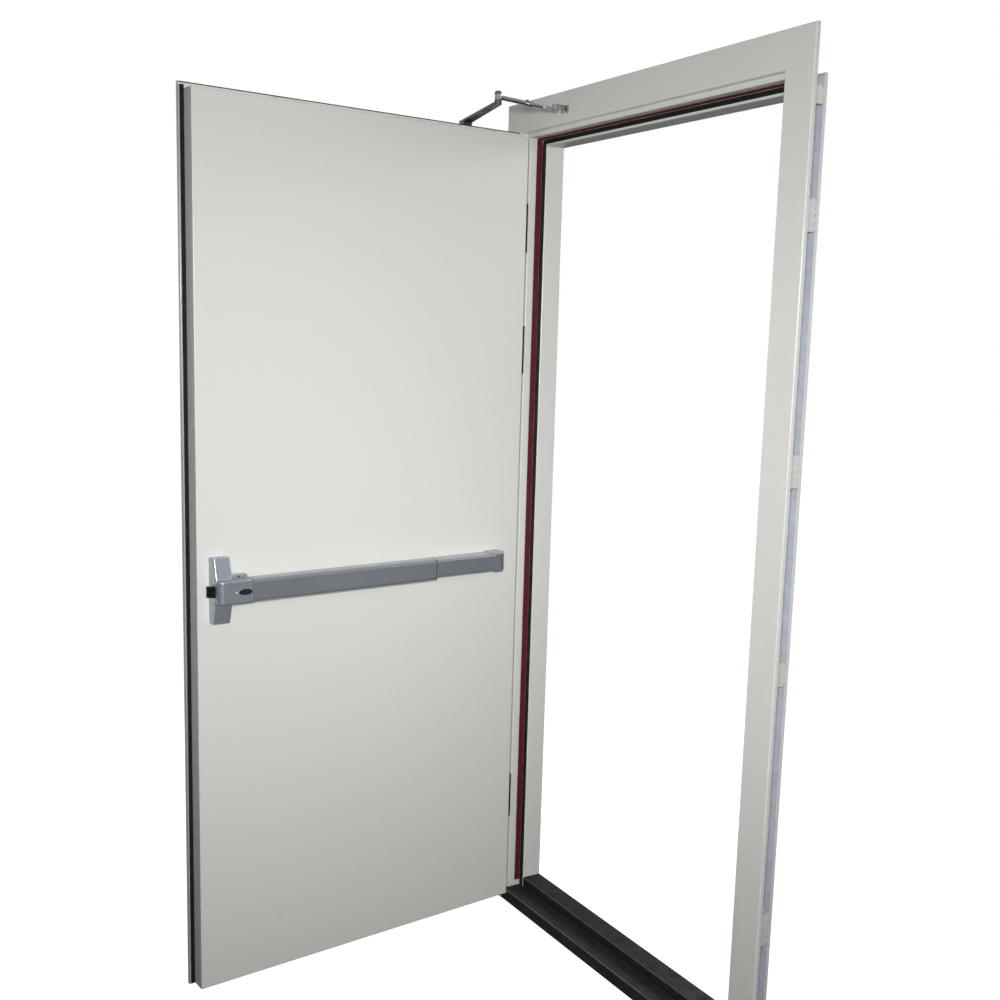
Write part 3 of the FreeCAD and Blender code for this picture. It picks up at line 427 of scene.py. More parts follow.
@dataclass(frozen=True)
class FramePaint(GlossPaint):
    """The same paint outside a bent sheet section whose inside is left galvanised."""

    bare: Colour = srgb(202, 208, 217)
    bare_shade: Colour = srgb(188, 195, 205)
    bare_rough: float = 0.16
    spangle: float = 55.0
    square: float = 0.7
    skin: float = 52.0
    reach: float = 476.0
    ceiling: float = 2119.0
    corner: Point = (549.0, -55.0)
    rub: float = 2.5
    chips: Grain = Grain(40.0, 6.0, (0.48, 0.7, 0.0, 0.3))

    def inside(self, shader: Shader) -> NodeSocket:
        """Mask of the faces that look into the bent section's hollow.

        Args:
            shader: The material to add nodes to.

        Returns:
            1 on the inside of the section, 0 outside.
        """
        across, depth, rise = shader.axes(shader.place)
        turn_x, turn_y, turn_z = shader.axes(shader.add("ShaderNodeTexCoord").outputs["Normal"])
        outward = shader.times(turn_x, shader.sum("SIGN", across))
        half = shader.sum("ABSOLUTE", across)
        more, less = "GREATER_THAN", "LESS_THAN"
        tests = ((more, turn_y, self.square, less, depth, self.skin),
                 (less, turn_y, -self.square, more, depth, self.skin),
                 (more, outward, self.square, less, half, self.reach),
                 (more, turn_z, self.square, less, rise, self.ceiling))
        mask = 0.0
        for turned, way, limit, placed, level, bound in tests:
            hit = shader.times(shader.sum(turned, way, limit), shader.sum(placed, level, bound * MM))
            mask = shader.sum("MAXIMUM", hit, mask)
        return mask

    def fill(self, shader: Shader) -> None:
        """Fill the surface shader with paint, bare inside and worn on the outer corner.

        Args:
            shader: The material to add nodes to.
        """
        tone, rough, normal = self.coat(shader)
        mask = self.inside(shader)
        across, depth = shader.axes(shader.place)[:2]
        side, face = self.corner
        outer = shader.span(shader.sum("ABSOLUTE", across), (side - self.rub) * MM, side * MM)
        front = shader.span(depth, face * MM, (face + self.rub) * MM, 1.0, 0.0)
        worn = shader.times(shader.times(outer, front), shader.grain(self.chips))
        tone = shader.blend(worn, tone, self.grime)
        spangle = shader.blend(shader.cells(self.spangle), self.bare, self.bare_shade)
        shader.set(Base_Color=shader.blend(mask, tone, spangle), Normal=normal,
                   Roughness=shader.sum("ADD", rough, shader.times(mask, self.bare_rough)),
                   Specular_IOR_Level=self.specular)


@dataclass(frozen=True)
class HingePaint(GlossPaint):
    """Paint on a hinge plate that stops at the crank, where the steel is left bare and painted dark as shade
    for the slot beside the leaf's edge.
    """

    crank: float = -41.5
    fade: float = 1.0
    steel: Colour = srgb(84, 86, 92)
    slot_shade: Colour = srgb(52, 53, 56)
    smear: Grain = Grain(60.0, 4.0, (0.35, 0.65, 0.0, 1.0))
    metallic: float = 0.6

    def fill(self, shader: Shader) -> None:
        """Fill the surface shader with paint and dark bare steel, painted shade at the crank.

        Args:
            shader: The material to add nodes to.
        """
        tone, rough, normal = self.coat(shader)
        # Painted shade: the crank is dark bare steel in patches, standing in for the dark slot beside the
        # leaf's edge.
        depth = shader.axes(shader.place)[1]
        crank_shade_mask = shader.span(depth, (self.crank - self.fade) * MM, self.crank * MM, 1.0, 0.0)
        smear = shader.blend(shader.grain(self.smear), self.steel, self.slot_shade)
        shader.set(Base_Color=shader.blend(crank_shade_mask, tone, smear), Roughness=rough, Normal=normal,
                   Metallic=shader.times(crank_shade_mask, self.metallic), Specular_IOR_Level=self.specular)


@dataclass(frozen=True)
class LeafPaint(GlossPaint):
    """The leaf's gloss paint, a little worn and greyed along the leaf's own edges, with painted shade in a
    darker grey on its lock-edge face.
    """

    open_angle: float = 0.0
    axis: Point = (0.0, 0.0)
    half_width: float = 452.0
    foot: float = 45.0
    top: float = 2095.0
    wear: float = 4.0
    chips: Grain = Grain(45.0, 6.0, (0.5, 0.7, 0.0, 0.25))
    edge_shade: Colour = srgb(200, 202, 202)
    edge_shade_reach: float = 0.4

    def fill(self, shader: Shader) -> None:
        """Fill the surface shader in the closed leaf's own axes.

        Args:
            shader: The material to add nodes to.
        """
        tone, rough, normal = self.coat(shader)
        axis = Vector(self.axis)
        shift = axis - Matrix.Rotation(self.open_angle, 2) @ axis
        along, _, rise = shader.axes(shader.mapped(turn=self.open_angle, shift=(shift.x, shift.y, 0.0)))
        near = (self.half_width - self.wear) * MM
        sides = shader.span(shader.sum("ABSOLUTE", along), near, self.half_width * MM)
        middle = (self.top + self.foot) / 2 * MM
        reach = (self.top - self.foot) / 2 * MM
        ends = shader.span(shader.apart(rise, middle), reach - self.wear * MM, reach)
        worn = shader.times(shader.sum("MAXIMUM", sides, ends), shader.grain(self.chips))
        # Painted shade: the lock edge's own face is greyed to look shaded.
        shaded_edge = shader.sum("LESS_THAN", shader.apart(along, self.half_width * MM), self.edge_shade_reach * MM)
        tone = shader.blend(shaded_edge, tone, self.edge_shade)
        shader.set(Base_Color=shader.blend(worn, tone, self.grime), Roughness=rough, Normal=normal,
                   Specular_IOR_Level=self.specular)


@dataclass(frozen=True)
class BarePlate(Finish):
    """Zinc-coated or primed steel with a crystal spangle."""

    metallic: float
    gloss: Point
    spangle: float = 70.0
    cloud: Grain = Grain(14.0, 5.0, (0.35, 0.65, 0.0, 1.0))
    skin: Skin = Skin(300.0, 3.0, 0.15, 0.08)

    def fill(self, shader: Shader) -> None:
        """Fill the surface shader with spangled metal.

        Args:
            shader: The material to add nodes to.
        """
        flake = shader.cells(self.spangle)
        tone = shader.blend(flake, self.colour, self.shade)
        tone = shader.blend(shader.grain(self.cloud), tone, self.shade)
        shader.set(Base_Color=tone, Roughness=shader.span(flake, 0.0, 1.0, *self.gloss),
                   Normal=shader.skin(self.skin), Metallic=self.metallic)


@dataclass(frozen=True)
class MetallicPaint(Finish):
    """Silver paint with fine flakes under lacquer."""

    flake: Colour
    gloss: Point
    metallic: float = 0.55
    lacquer: float = 0.35
    lacquer_gloss: float = 0.16
    flakes: float = 1500.0
    sparkle: Range = (0.72, 1.0, 0.0, 0.3)
    cloud: Grain = Grain(900.0, 2.0, (0.35, 0.65, 0.0, 1.0))
    smear: Point = (6.0, 1.0)
    skin: Skin = Skin(1100.0, 2.0, 0.08, 0.03)

    def fill(self, shader: Shader) -> None:
        """Fill the surface shader with flaked paint.

        Args:
            shader: The material to add nodes to.
        """
        tone = shader.blend(shader.grain(self.cloud), self.shade, self.colour)
        tone = shader.blend(shader.span(shader.cells(self.flakes), *self.sparkle), tone, self.flake)
        rough = shader.span(shader.noise(*self.smear), 0.0, 1.0, *self.gloss)
        shader.set(Base_Color=tone, Roughness=rough, Normal=shader.skin(self.skin), Metallic=self.metallic,
                   Coat_Weight=self.lacquer, Coat_Roughness=self.lacquer_gloss)


@dataclass(frozen=True)
class WorkedSteel(Finish):
    """Bare or plated steel with fine lengthwise scratches."""

    gloss: Point = (0.22, 0.4)
    lay: Point3 = (1.0, 1.0, 12.0)
    cloud: Grain = Grain(40.0, 5.0, (0.35, 0.68, 0.0, 1.0))
    scratches: Point = (240.0, 4.0)
    scratch_range: Point = (0.3, 0.7)
    scratch_bump: Point = (0.15, 0.05)

    def fill(self, shader: Shader) -> None:
        """Fill the surface shader with scratched metal.

        Args:
            shader: The material to add nodes to.
        """
        scratch = shader.noise(*self.scratches, self.lay)
        shader.set(Base_Color=shader.blend(shader.grain(self.cloud), self.colour, self.shade),
                   Roughness=shader.span(scratch, *self.scratch_range, *self.gloss),
                   Normal=shader.relief(scratch, *self.scratch_bump), Metallic=1.0)


@dataclass(frozen=True)
class SillSteel(Finish):
    """Dark tarnished sheet with streaks, a paler tread that is painted light against its shade, and pale edge
    lines that are partly worn bare and partly painted highlight.
    """

    tread_painted_light: Colour
    rubbed: Colour
    creases: tuple[Point3, ...]
    tread: float = 35.0
    tread_fade: Range = (1.0, 3.0, 0.75, 0.0)
    blot: Grain = Grain(22.0, 7.0, (0.4, 0.66, 0.0, 1.0))
    streak: Grain = Grain(60.0, 6.0, (0.5, 0.72, 0.0, 0.6), (0.25, 1.0, 1.0))
    rub: Grain = Grain(30.0, 4.0, (0.25, 0.55, 0.4, 1.0))
    gloss: Grain = Grain(35.0, 5.0, (0.3, 0.7, 0.42, 0.7))
    skin: Skin = Skin(260.0, 5.0, 0.3, 0.12)
    specular: float = 0.12

    def fill(self, shader: Shader) -> None:
        """Fill the surface shader with tarnish, the tread's wear and the rubbed creases.

        Args:
            shader: The material to add nodes to.
        """
        blot = shader.grain(self.blot)
        tone = shader.blend(blot, self.colour, self.shade)
        tone = shader.blend(shader.grain(self.streak), tone, self.shade)
        depth, rise = shader.axes(shader.place)[1:]
        # Painted light: below the stop the tread and its front are paler, to offset the shade they fall in.
        start, end, most, least = self.tread_fade
        low = shader.span(rise, (self.tread + start) * MM, (self.tread + end) * MM, most, least)
        tone = shader.blend(low, tone, shader.blend(blot, self.tread_painted_light, self.shade))
        marks = []
        # Pale lines along the creases, partly worn bare and partly painted highlight.
        for back, level, reach in self.creases:
            near = [shader.span(shader.apart(part, place * MM), 0.0, reach * MM, 1.0, 0.0)
                    for part, place in ((depth, back), (rise, level))]
            marks.append(shader.times(*near))
        rub = shader.times(shader.sum("MAXIMUM", *marks), shader.grain(self.rub))
        shader.set(Base_Color=shader.blend(rub, tone, self.rubbed), Roughness=shader.grain(self.gloss),
                   Normal=shader.skin(self.skin), Metallic=0.0, Specular_IOR_Level=self.specular)


@dataclass(frozen=True)
class SoftStrip(Finish):
    """Matt rubber, plastic or swelling strip with a fine grain and dust."""

    gloss: Point = (0.55, 0.75)
    specular: float = 0.25
    dust: Grain = Grain(70.0, 6.0, (0.5, 0.75, 0.0, 0.45))
    wear: Point = (25.0, 3.0)
    wear_range: Point = (0.3, 0.7)
    skin: Skin = Skin(700.0, 3.0, 0.25, 0.08)

    def fill(self, shader: Shader) -> None:
        """Fill the surface shader with dusty rubber.

        Args:
            shader: The material to add nodes to.
        """
        tone = shader.blend(shader.grain(self.dust), self.colour, self.shade)
        rough = shader.span(shader.noise(*self.wear), *self.wear_range, *self.gloss)
        shader.set(Base_Color=tone, Roughness=rough, Normal=shader.skin(self.skin),
                   Specular_IOR_Level=self.specular)


def facing(at: Sequence[float], out: Sequence[float], along: Sequence[float] = (0, 0, 1)) -> Matrix:
    """A place whose Z points outwards and whose X lies as near as it can to a direction.

    Args:
        at: The origin in millimetres.
        out: Direction of Z.
        along: Rough direction of X.

    Returns:
        The place as a matrix in metres.
    """
    z = Vector(out).normalized()
    x = Vector(along) - Vector(along).dot(z) * z
    if x.length < TINY:
        x = Vector((1, 0, 0)) - z.x * z
    x.normalize()
    turn = Matrix((x, z.cross(x), z)).transposed().to_4x4()
    return Matrix.Translation(Vector(at) * MM) @ turn


def rims(verts: Sequence[BMVert]) -> set[BMEdge]:
    """Every edge that the vertices belong to."""
    return {edge for vert in verts for edge in vert.link_edges}


class Work:
    """One piece being made in a bmesh, in millimetres until it is placed.

    CROWN and MOUTH are shares of a screw head's radius, SINK of its rise and BLADE of a recess's reach.
    """

    CROWN = 0.78
    MOUTH = 0.6
    SINK = 0.75
    BLADE = 0.24
    HEAD_SIDES = 18

    def __init__(self) -> None:
        """Start with an empty bmesh."""
        self.mesh = bmesh.new()

    def put(self, verts: Sequence[BMVert], placed: Matrix) -> None:
        """Scale new vertices to metres and move them to their place."""
        bmesh.ops.transform(self.mesh, matrix=placed @ Matrix.Scale(MM, 4), verts=list(verts))

    def move(self, verts: Sequence[BMVert], x: float, y: float, z: float) -> None:
        """Shift vertices that aren't placed yet."""
        bmesh.ops.translate(self.mesh, vec=(x, y, z), verts=verts)

    def bar(self, low: Sequence[float], high: Sequence[float], placed: Matrix, rounding: float) -> None:
        """A block between two corners with its edges rounded.

        Args:
            low: Lowest corner.
            high: Highest corner.
            placed: Where the block's axes go.
            rounding: Radius of the edges.
        """
        size = Vector(high) - Vector(low)
        verts = bmesh.ops.create_cube(self.mesh, size=1.0)["verts"]
        bmesh.ops.scale(self.mesh, vec=size, verts=verts)
        self.move(verts, *(Vector(high) + Vector(low)) / 2)
        self.put(self.bevel(rims(verts), rounding), placed)

    def bevel(self, edges: set[BMEdge], rounding: float, segments: int = 2) -> list[BMVert]:
        """Round some edges of a shape.

        Args:
            edges: The edges.
            rounding: Radius.
            segments: Steps of the rounding.

        Returns:
            Every vertex at the edges, old and new, that is left.
        """
        kept = {vert for edge in edges for vert in edge.verts}
        made = bmesh.ops.bevel(self.mesh, geom=list(edges), offset=rounding, offset_type="OFFSET",
                               segments=segments, profile=0.5, affect="EDGES", material=-1,
                               clamp_overlap=True)
        return [vert for vert in set(made["verts"]) | kept if vert.is_valid]

    def cone(self, foot: float, top: float, height: float, sides: int) -> list[BMVert]:
        """A closed cone or post that stands on its origin.

        Args:
            foot: Radius of the foot.
            top: Radius of the top.
            height: Height along Z.
            sides: Number of sides.

        Returns:
            Its vertices.
        """
        verts = bmesh.ops.create_cone(self.mesh, cap_ends=True, segments=sides, radius1=foot, radius2=top,
                                      depth=height)["verts"]
        self.move(verts, 0, 0, height / 2)
        return verts

    def post(self, radius: float, height: float, placed: Matrix, rounding: float, sides: int) -> None:
        """A round post standing on its place.

        Args:
            radius: Radius of the post.
            height: Height along the place's Z.
            placed: Where the foot's middle and the axis go.
            rounding: Radius of its top edge.
            sides: Number of sides.
        """
        verts = self.cone(radius, radius, height, sides)
        top = {edge for edge in rims(verts) if all(end.co.z > height / 2 for end in edge.verts)}
        verts = set(verts) | set(self.bevel(top, rounding, segments=3))
        self.put([vert for vert in verts if vert.is_valid], placed)

    def strip(self, outline: Sequence[Point], length: float, placed: Matrix, cuts: int = 0) -> list[BMVert]:
        """An outline pulled out along its own Z.

        Args:
            outline: Corners of the section, in order.
            length: How far it is pulled.
            placed: Where the section's origin and axes go.
            cuts: Rings of extra vertices along the length.

        Returns:
            The strip's vertices.
        """
        verts = [self.mesh.verts.new((x, y, 0.0)) for x, y in outline]
        face = self.mesh.faces.new(verts)
        for _ in range(cuts + 1):
            grown = bmesh.ops.extrude_face_region(self.mesh, geom=[face])["geom"]
            ends = [item for item in grown if isinstance(item, BMVert)]
            face = next(item for item in grown if isinstance(item, BMFace))
            self.move(ends, 0, 0, length / (cuts + 1))
            verts += ends
        self.put(verts, placed)
        return verts

    def recess_loop(self, recess: Recess, reach: float, height: float) -> list[BMEdge]:
        """The mouth of a driver recess as a loop of edges.

        Args:
            recess: Which recess.
            reach: Half its width.
            height: Level of the mouth.

        Returns:
            The loop's edges.
        """
        if recess is Recess.HEX:
            verts = bmesh.ops.create_circle(self.mesh, segments=6, radius=reach)["verts"]
            self.move(verts, 0, 0, height)
            return list(rims(verts))
        half = reach * self.BLADE
        corners = [(reach, half), (-reach, half), (-reach, -half), (reach, -half)]
        if recess is Recess.CROSS:
            arm = [(reach, -half), (reach, half), (half, half)]
            turns = ((1, 0), (0, 1), (-1, 0), (0, -1))
            corners = [(x * c - y * s, x * s + y * c) for c, s in turns for x, y in arm]
        verts = [self.mesh.verts.new((x, y, height)) for x, y in corners]
        return [self.mesh.edges.new((verts[i - 1], vert)) for i, vert in enumerate(verts)]

    def screw(self, radius: float, rise: float, placed: Matrix, recess: Recess = Recess.CROSS) -> None:
        """A low domed screw head with its driver recess.

        Args:
            radius: Radius of the head.
            rise: How far it stands above its place.
            placed: Middle of the head on the surface, Z outwards.
            recess: Which driver it takes.
        """
        verts = self.cone(radius, self.CROWN * radius, rise, self.HEAD_SIDES)
        faces = {face for vert in verts for face in vert.link_faces}
        lid = next(face for face in faces if all(vert.co.z > rise / 2 for vert in face.verts))
        rim = list(lid.edges)
        bmesh.ops.delete(self.mesh, geom=[lid], context="FACES_ONLY")
        mouth = self.recess_loop(recess, self.MOUTH * radius, rise)
        bmesh.ops.triangle_fill(self.mesh, use_beauty=True, use_dissolve=False, edges=rim + mouth,
                                normal=(0, 0, 1))
        walls = bmesh.ops.extrude_edge_only(self.mesh, edges=mouth)["geom"]
        floor = [item for item in walls if isinstance(item, BMVert)]
        self.move(floor, 0, 0, -self.SINK * rise)
        bottom = [item for item in walls if isinstance(item, BMEdge) and set(item.verts) <= set(floor)]
        bmesh.ops.triangle_fill(self.mesh, use_beauty=True, edges=bottom)
        self.put(set(verts) | {vert for edge in mouth for vert in edge.verts} | set(floor), placed)

    def ring(self, radius: float, wire: float, squash: float, placed: Matrix) -> None:
        """A round rim, squashed to an oval.

        Args:
            radius: Half the rim's length, at the middle of its wire.
            wire: Radius of the wire.
            squash: Width of the rim as a share of its length.
            placed: Middle of the rim on the surface, X along its length and Z outwards.
        """
        verts = bmesh.ops.create_circle(self.mesh, segments=8, radius=wire)["verts"]
        stand = Matrix.Translation((radius, 0, 0)) @ Matrix.Rotation(math.pi / 2, 4, "X")
        bmesh.ops.transform(self.mesh, matrix=stand, verts=verts)
        before = set(self.mesh.verts)
        bmesh.ops.spin(self.mesh, geom=list(verts) + list(rims(verts)), cent=(0, 0, 0), axis=(0, 0, 1),
                       dvec=(0, 0, 0), angle=math.tau, steps=36, use_merge=True, use_normal_flip=False,
                       use_duplicate=False)
        made = [vert for vert in self.mesh.verts if vert not in before or vert in set(verts)]
        bmesh.ops.scale(self.mesh, vec=(1.0, squash, 1.0), verts=made)
        self.put(made, placed)

    def bead(self, start: Vector, run: Vector, radius: float, out: Point3) -> None:
        """A weld bead of overlapping ripples, each a little larger or smaller and off the line.

        Args:
            start: Its first end.
            run: From there to its last end.
            radius: Half the bead's width.
            out: Direction away from the plate.
        """
        step_share, uneven, swell_pace, drift_pace = 0.9, 0.12, 2.4, 1.7
        long_share, high_share = 0.8, 0.5
        count = max(2, round(run.length / (radius * step_share)))
        placed = facing(start, out, run)
        for step in range(count):
            verts = bmesh.ops.create_uvsphere(self.mesh, u_segments=10, v_segments=6, radius=radius)["verts"]
            swell = 1.0 + uneven * math.sin(step * swell_pace)
            bmesh.ops.scale(self.mesh, vec=(long_share, swell, high_share * swell), verts=verts)
            drift = uneven * radius * math.sin(step * drift_pace)
            self.move(verts, run.length * step / (count - 1), drift, 0)
            self.put(verts, placed)

    def finish(self, name: str, material: Material, body: Body, slot: Slot,
               stands_for: Sequence[str] = ()) -> Object:
        """Close the mesh, make its object and put it on its body.

        Args:
            name: The piece's name.
            material: Its finish.
            body: The body it rides on.
            slot: The record's slot meant for it; not used.
            stands_for: CAD nodes that it replaces.

        Returns:
            The new object.
        """
        bmesh.ops.recalc_face_normals(self.mesh, faces=list(self.mesh.faces))
        data = bpy.data.meshes.new(name)
        self.mesh.to_mesh(data)
        self.mesh.free()
        piece = bpy.data.objects.new(name, data)
        bpy.context.collection.objects.link(piece)
        data.materials.append(material)
        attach(piece, body.value)
        if stands_for:
            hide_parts(*stands_for)
        log.info("%s: %d faces on %s", name, len(data.polygons), body.value)
        return piece


def dress(material: Material, *nodes: str) -> None:
    """Give CAD nodes a finish.

    Args:
        material: The finish.
        nodes: Names of the nodes.
    """
    for node in nodes:
        piece = frame["nodes"][node]
        piece.data.materials.clear()
        piece.data.materials.append(material)
        log.info("%s: dressed in %s", node, material.name)


def still_box(node: str) -> tuple[Vector, Vector]:
    """A frame node's box, in millimetres."""
    low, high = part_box(node)
    return low / MM, high / MM


def scaled(section: Sequence[Point], width: float, height: float) -> list[Point]:
    """A section of unit size, brought to its real width and height."""
    return [(x * width, y * height) for x, y in section]


class Layout:
    """The closed leaf's layout and its turn to where the leaf stands."""

    def __init__(self) -> None:
        """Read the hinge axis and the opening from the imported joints."""
        swing = next(joint for joint in frame["joints"] if joint["name"] == "leaf_swing")
        self.axis = Vector(swing["pos_m"])
        self.angle = -math.radians(swing["range_deg"][0])
        self.turn = (Matrix.Translation(self.axis) @ Matrix.Rotation(-self.angle, 4, "Z")
                     @ Matrix.Translation(-self.axis))
        self.back = self.turn.inverted()

    def box(self, node: str) -> tuple[Vector, Vector]:
        """A leaf node's box in the closed layout.

        Args:
            node: The node's name.

        Returns:
            Lowest and highest corner, in millimetres.
        """
        points = [self.back @ vert.co / MM for vert in frame["nodes"][node].data.vertices]
        low = Vector([min(point[i] for point in points) for i in range(3)])
        high = Vector([max(point[i] for point in points) for i in range(3)])
        return low, high

    def facing(self, at: Sequence[float], out: Point3, along: Point3 = (0, 0, 1)) -> Matrix:
        """A place given in the closed layout, on the leaf where it stands."""
        return self.turn @ facing(at, out, along)


class Finishes:
    """Every finish of the door, made once."""

    def __init__(self, layout: Layout) -> None:
        """Make the materials.

        Args:
            layout: The leaf's layout, for paint that follows the leaf.
        """
        hinge_white = srgb(221, 221, 217), srgb(217, 217, 212)
        bar_gloss = (0.27, 0.31)
        arm_lay = (1.0, 1.0, 4.0)
        self.leaf_paint = LeafPaint("leaf_paint", srgb(227, 227, 223), srgb(224, 224, 219),
                                    open_angle=layout.angle, axis=(layout.axis.x, layout.axis.y)).make()
        self.frame_paint = FramePaint("frame_paint", srgb(223, 223, 219), srgb(220, 221, 216)).make()
        self.hinge_paint = GlossPaint("hinge_paint", *hinge_white).make()
        self.hinge_plate_paint = HingePaint("hinge_plate_paint", *hinge_white).make()
        # The hem's paint is a darker grey copy of the leaf's paint: painted shade on the rolled edge.
        self.hem_shaded_paint = GlossPaint("hem_shaded_paint", srgb(170, 171, 170), srgb(162, 163, 161)).make()
        self.strap = BarePlate("primed_strap", srgb(224, 224, 221), srgb(210, 211, 209), metallic=0.05,
                               gloss=(0.35, 0.5)).make()
        self.weld = BarePlate("weld_bead", srgb(206, 206, 203), srgb(172, 172, 168), metallic=0.3,
                              gloss=(0.3, 0.45)).make()
        self.seal = SoftStrip("fire_seal_red", srgb(94, 28, 34), srgb(106, 46, 48)).make()
        self.rubber = SoftStrip("gasket_rubber", srgb(20, 23, 23), srgb(52, 54, 52)).make()
        self.plug = SoftStrip("dark_plug_plastic", srgb(24, 25, 25), srgb(44, 45, 44), gloss=(0.3, 0.42),
                              specular=0.5).make()
        self.hinge_steel = WorkedSteel("hinge_zinc", srgb(120, 121, 120), srgb(88, 89, 88)).make()
        self.dark_steel = WorkedSteel("dark_latch_steel", srgb(84, 85, 82), srgb(62, 63, 61)).make()
        self.arm_plate = WorkedSteel("arm_plating", srgb(186, 187, 192), srgb(150, 151, 156), (0.14, 0.24),
                                     arm_lay).make()
        # A darker copy of the arm plating for the main arm: painted shade for the dark surroundings it
        # reflects.
        self.arm_painted_shade = WorkedSteel("arm_plating_painted_shade", srgb(120, 121, 117), srgb(88, 89, 85), (0.2, 0.32),
                                    arm_lay).make()
        self.silver = MetallicPaint("silver_bar_paint", srgb(150, 155, 163), srgb(142, 147, 154),
                                    srgb(208, 212, 220), bar_gloss).make()
        self.cast_silver = MetallicPaint("silver_case_paint", srgb(162, 168, 177), srgb(154, 160, 168),
                                         srgb(212, 216, 224), bar_gloss).make()
        self.closer_paint = MetallicPaint("closer_paint", srgb(150, 152, 154), srgb(128, 130, 132),
                                          srgb(200, 203, 208), (0.34, 0.46)).make()
        self.sill_steel = self.sill()

    def sill(self) -> Material:
        """The sill's finish, with pale lines along the tread's front edge and the stop's top edge, partly
        worn bare and partly painted highlight.

        Returns:
            The new material.
        """
        tread_reach, stop_reach = 3.0, 2.6
        low, high = still_box("sill")
        seat = still_box("sill_stop_gasket")[1]
        creases = ((low.y, SillSteel.tread, tread_reach), (seat.y, high.z, stop_reach))
        return SillSteel("dark_sill_steel", srgb(32, 34, 30), srgb(39, 40, 36), srgb(52, 54, 49),
                         srgb(140, 142, 136), creases).make()


@dataclass
class SubAssembly:
    """What every sub-assembly works with: the leaf's layout and the finishes."""

    layout: Layout
    finishes: Finishes

    def lay(self, kind: Strip, node: str, size: Point3, placed: Matrix, body: Body) -> None:
        """Lay a strip that stands for a plain node.

        Args:
            kind: Fire seal or gasket.
            node: The node's name.
            size: Width and height of its section, the height negative where it is mirrored, and its length.
            placed: Where the section's origin and axes go.
            body: The body it rides on.
        """
        ending, section, slot = kind.value
        width, height, length = size
        material = self.finishes.seal if kind is Strip.SEAL else self.finishes.rubber
        work = Work()
        work.strip(scaled(section, width, height), length, placed)
        work.finish(node + ending, material, body, slot, [node])


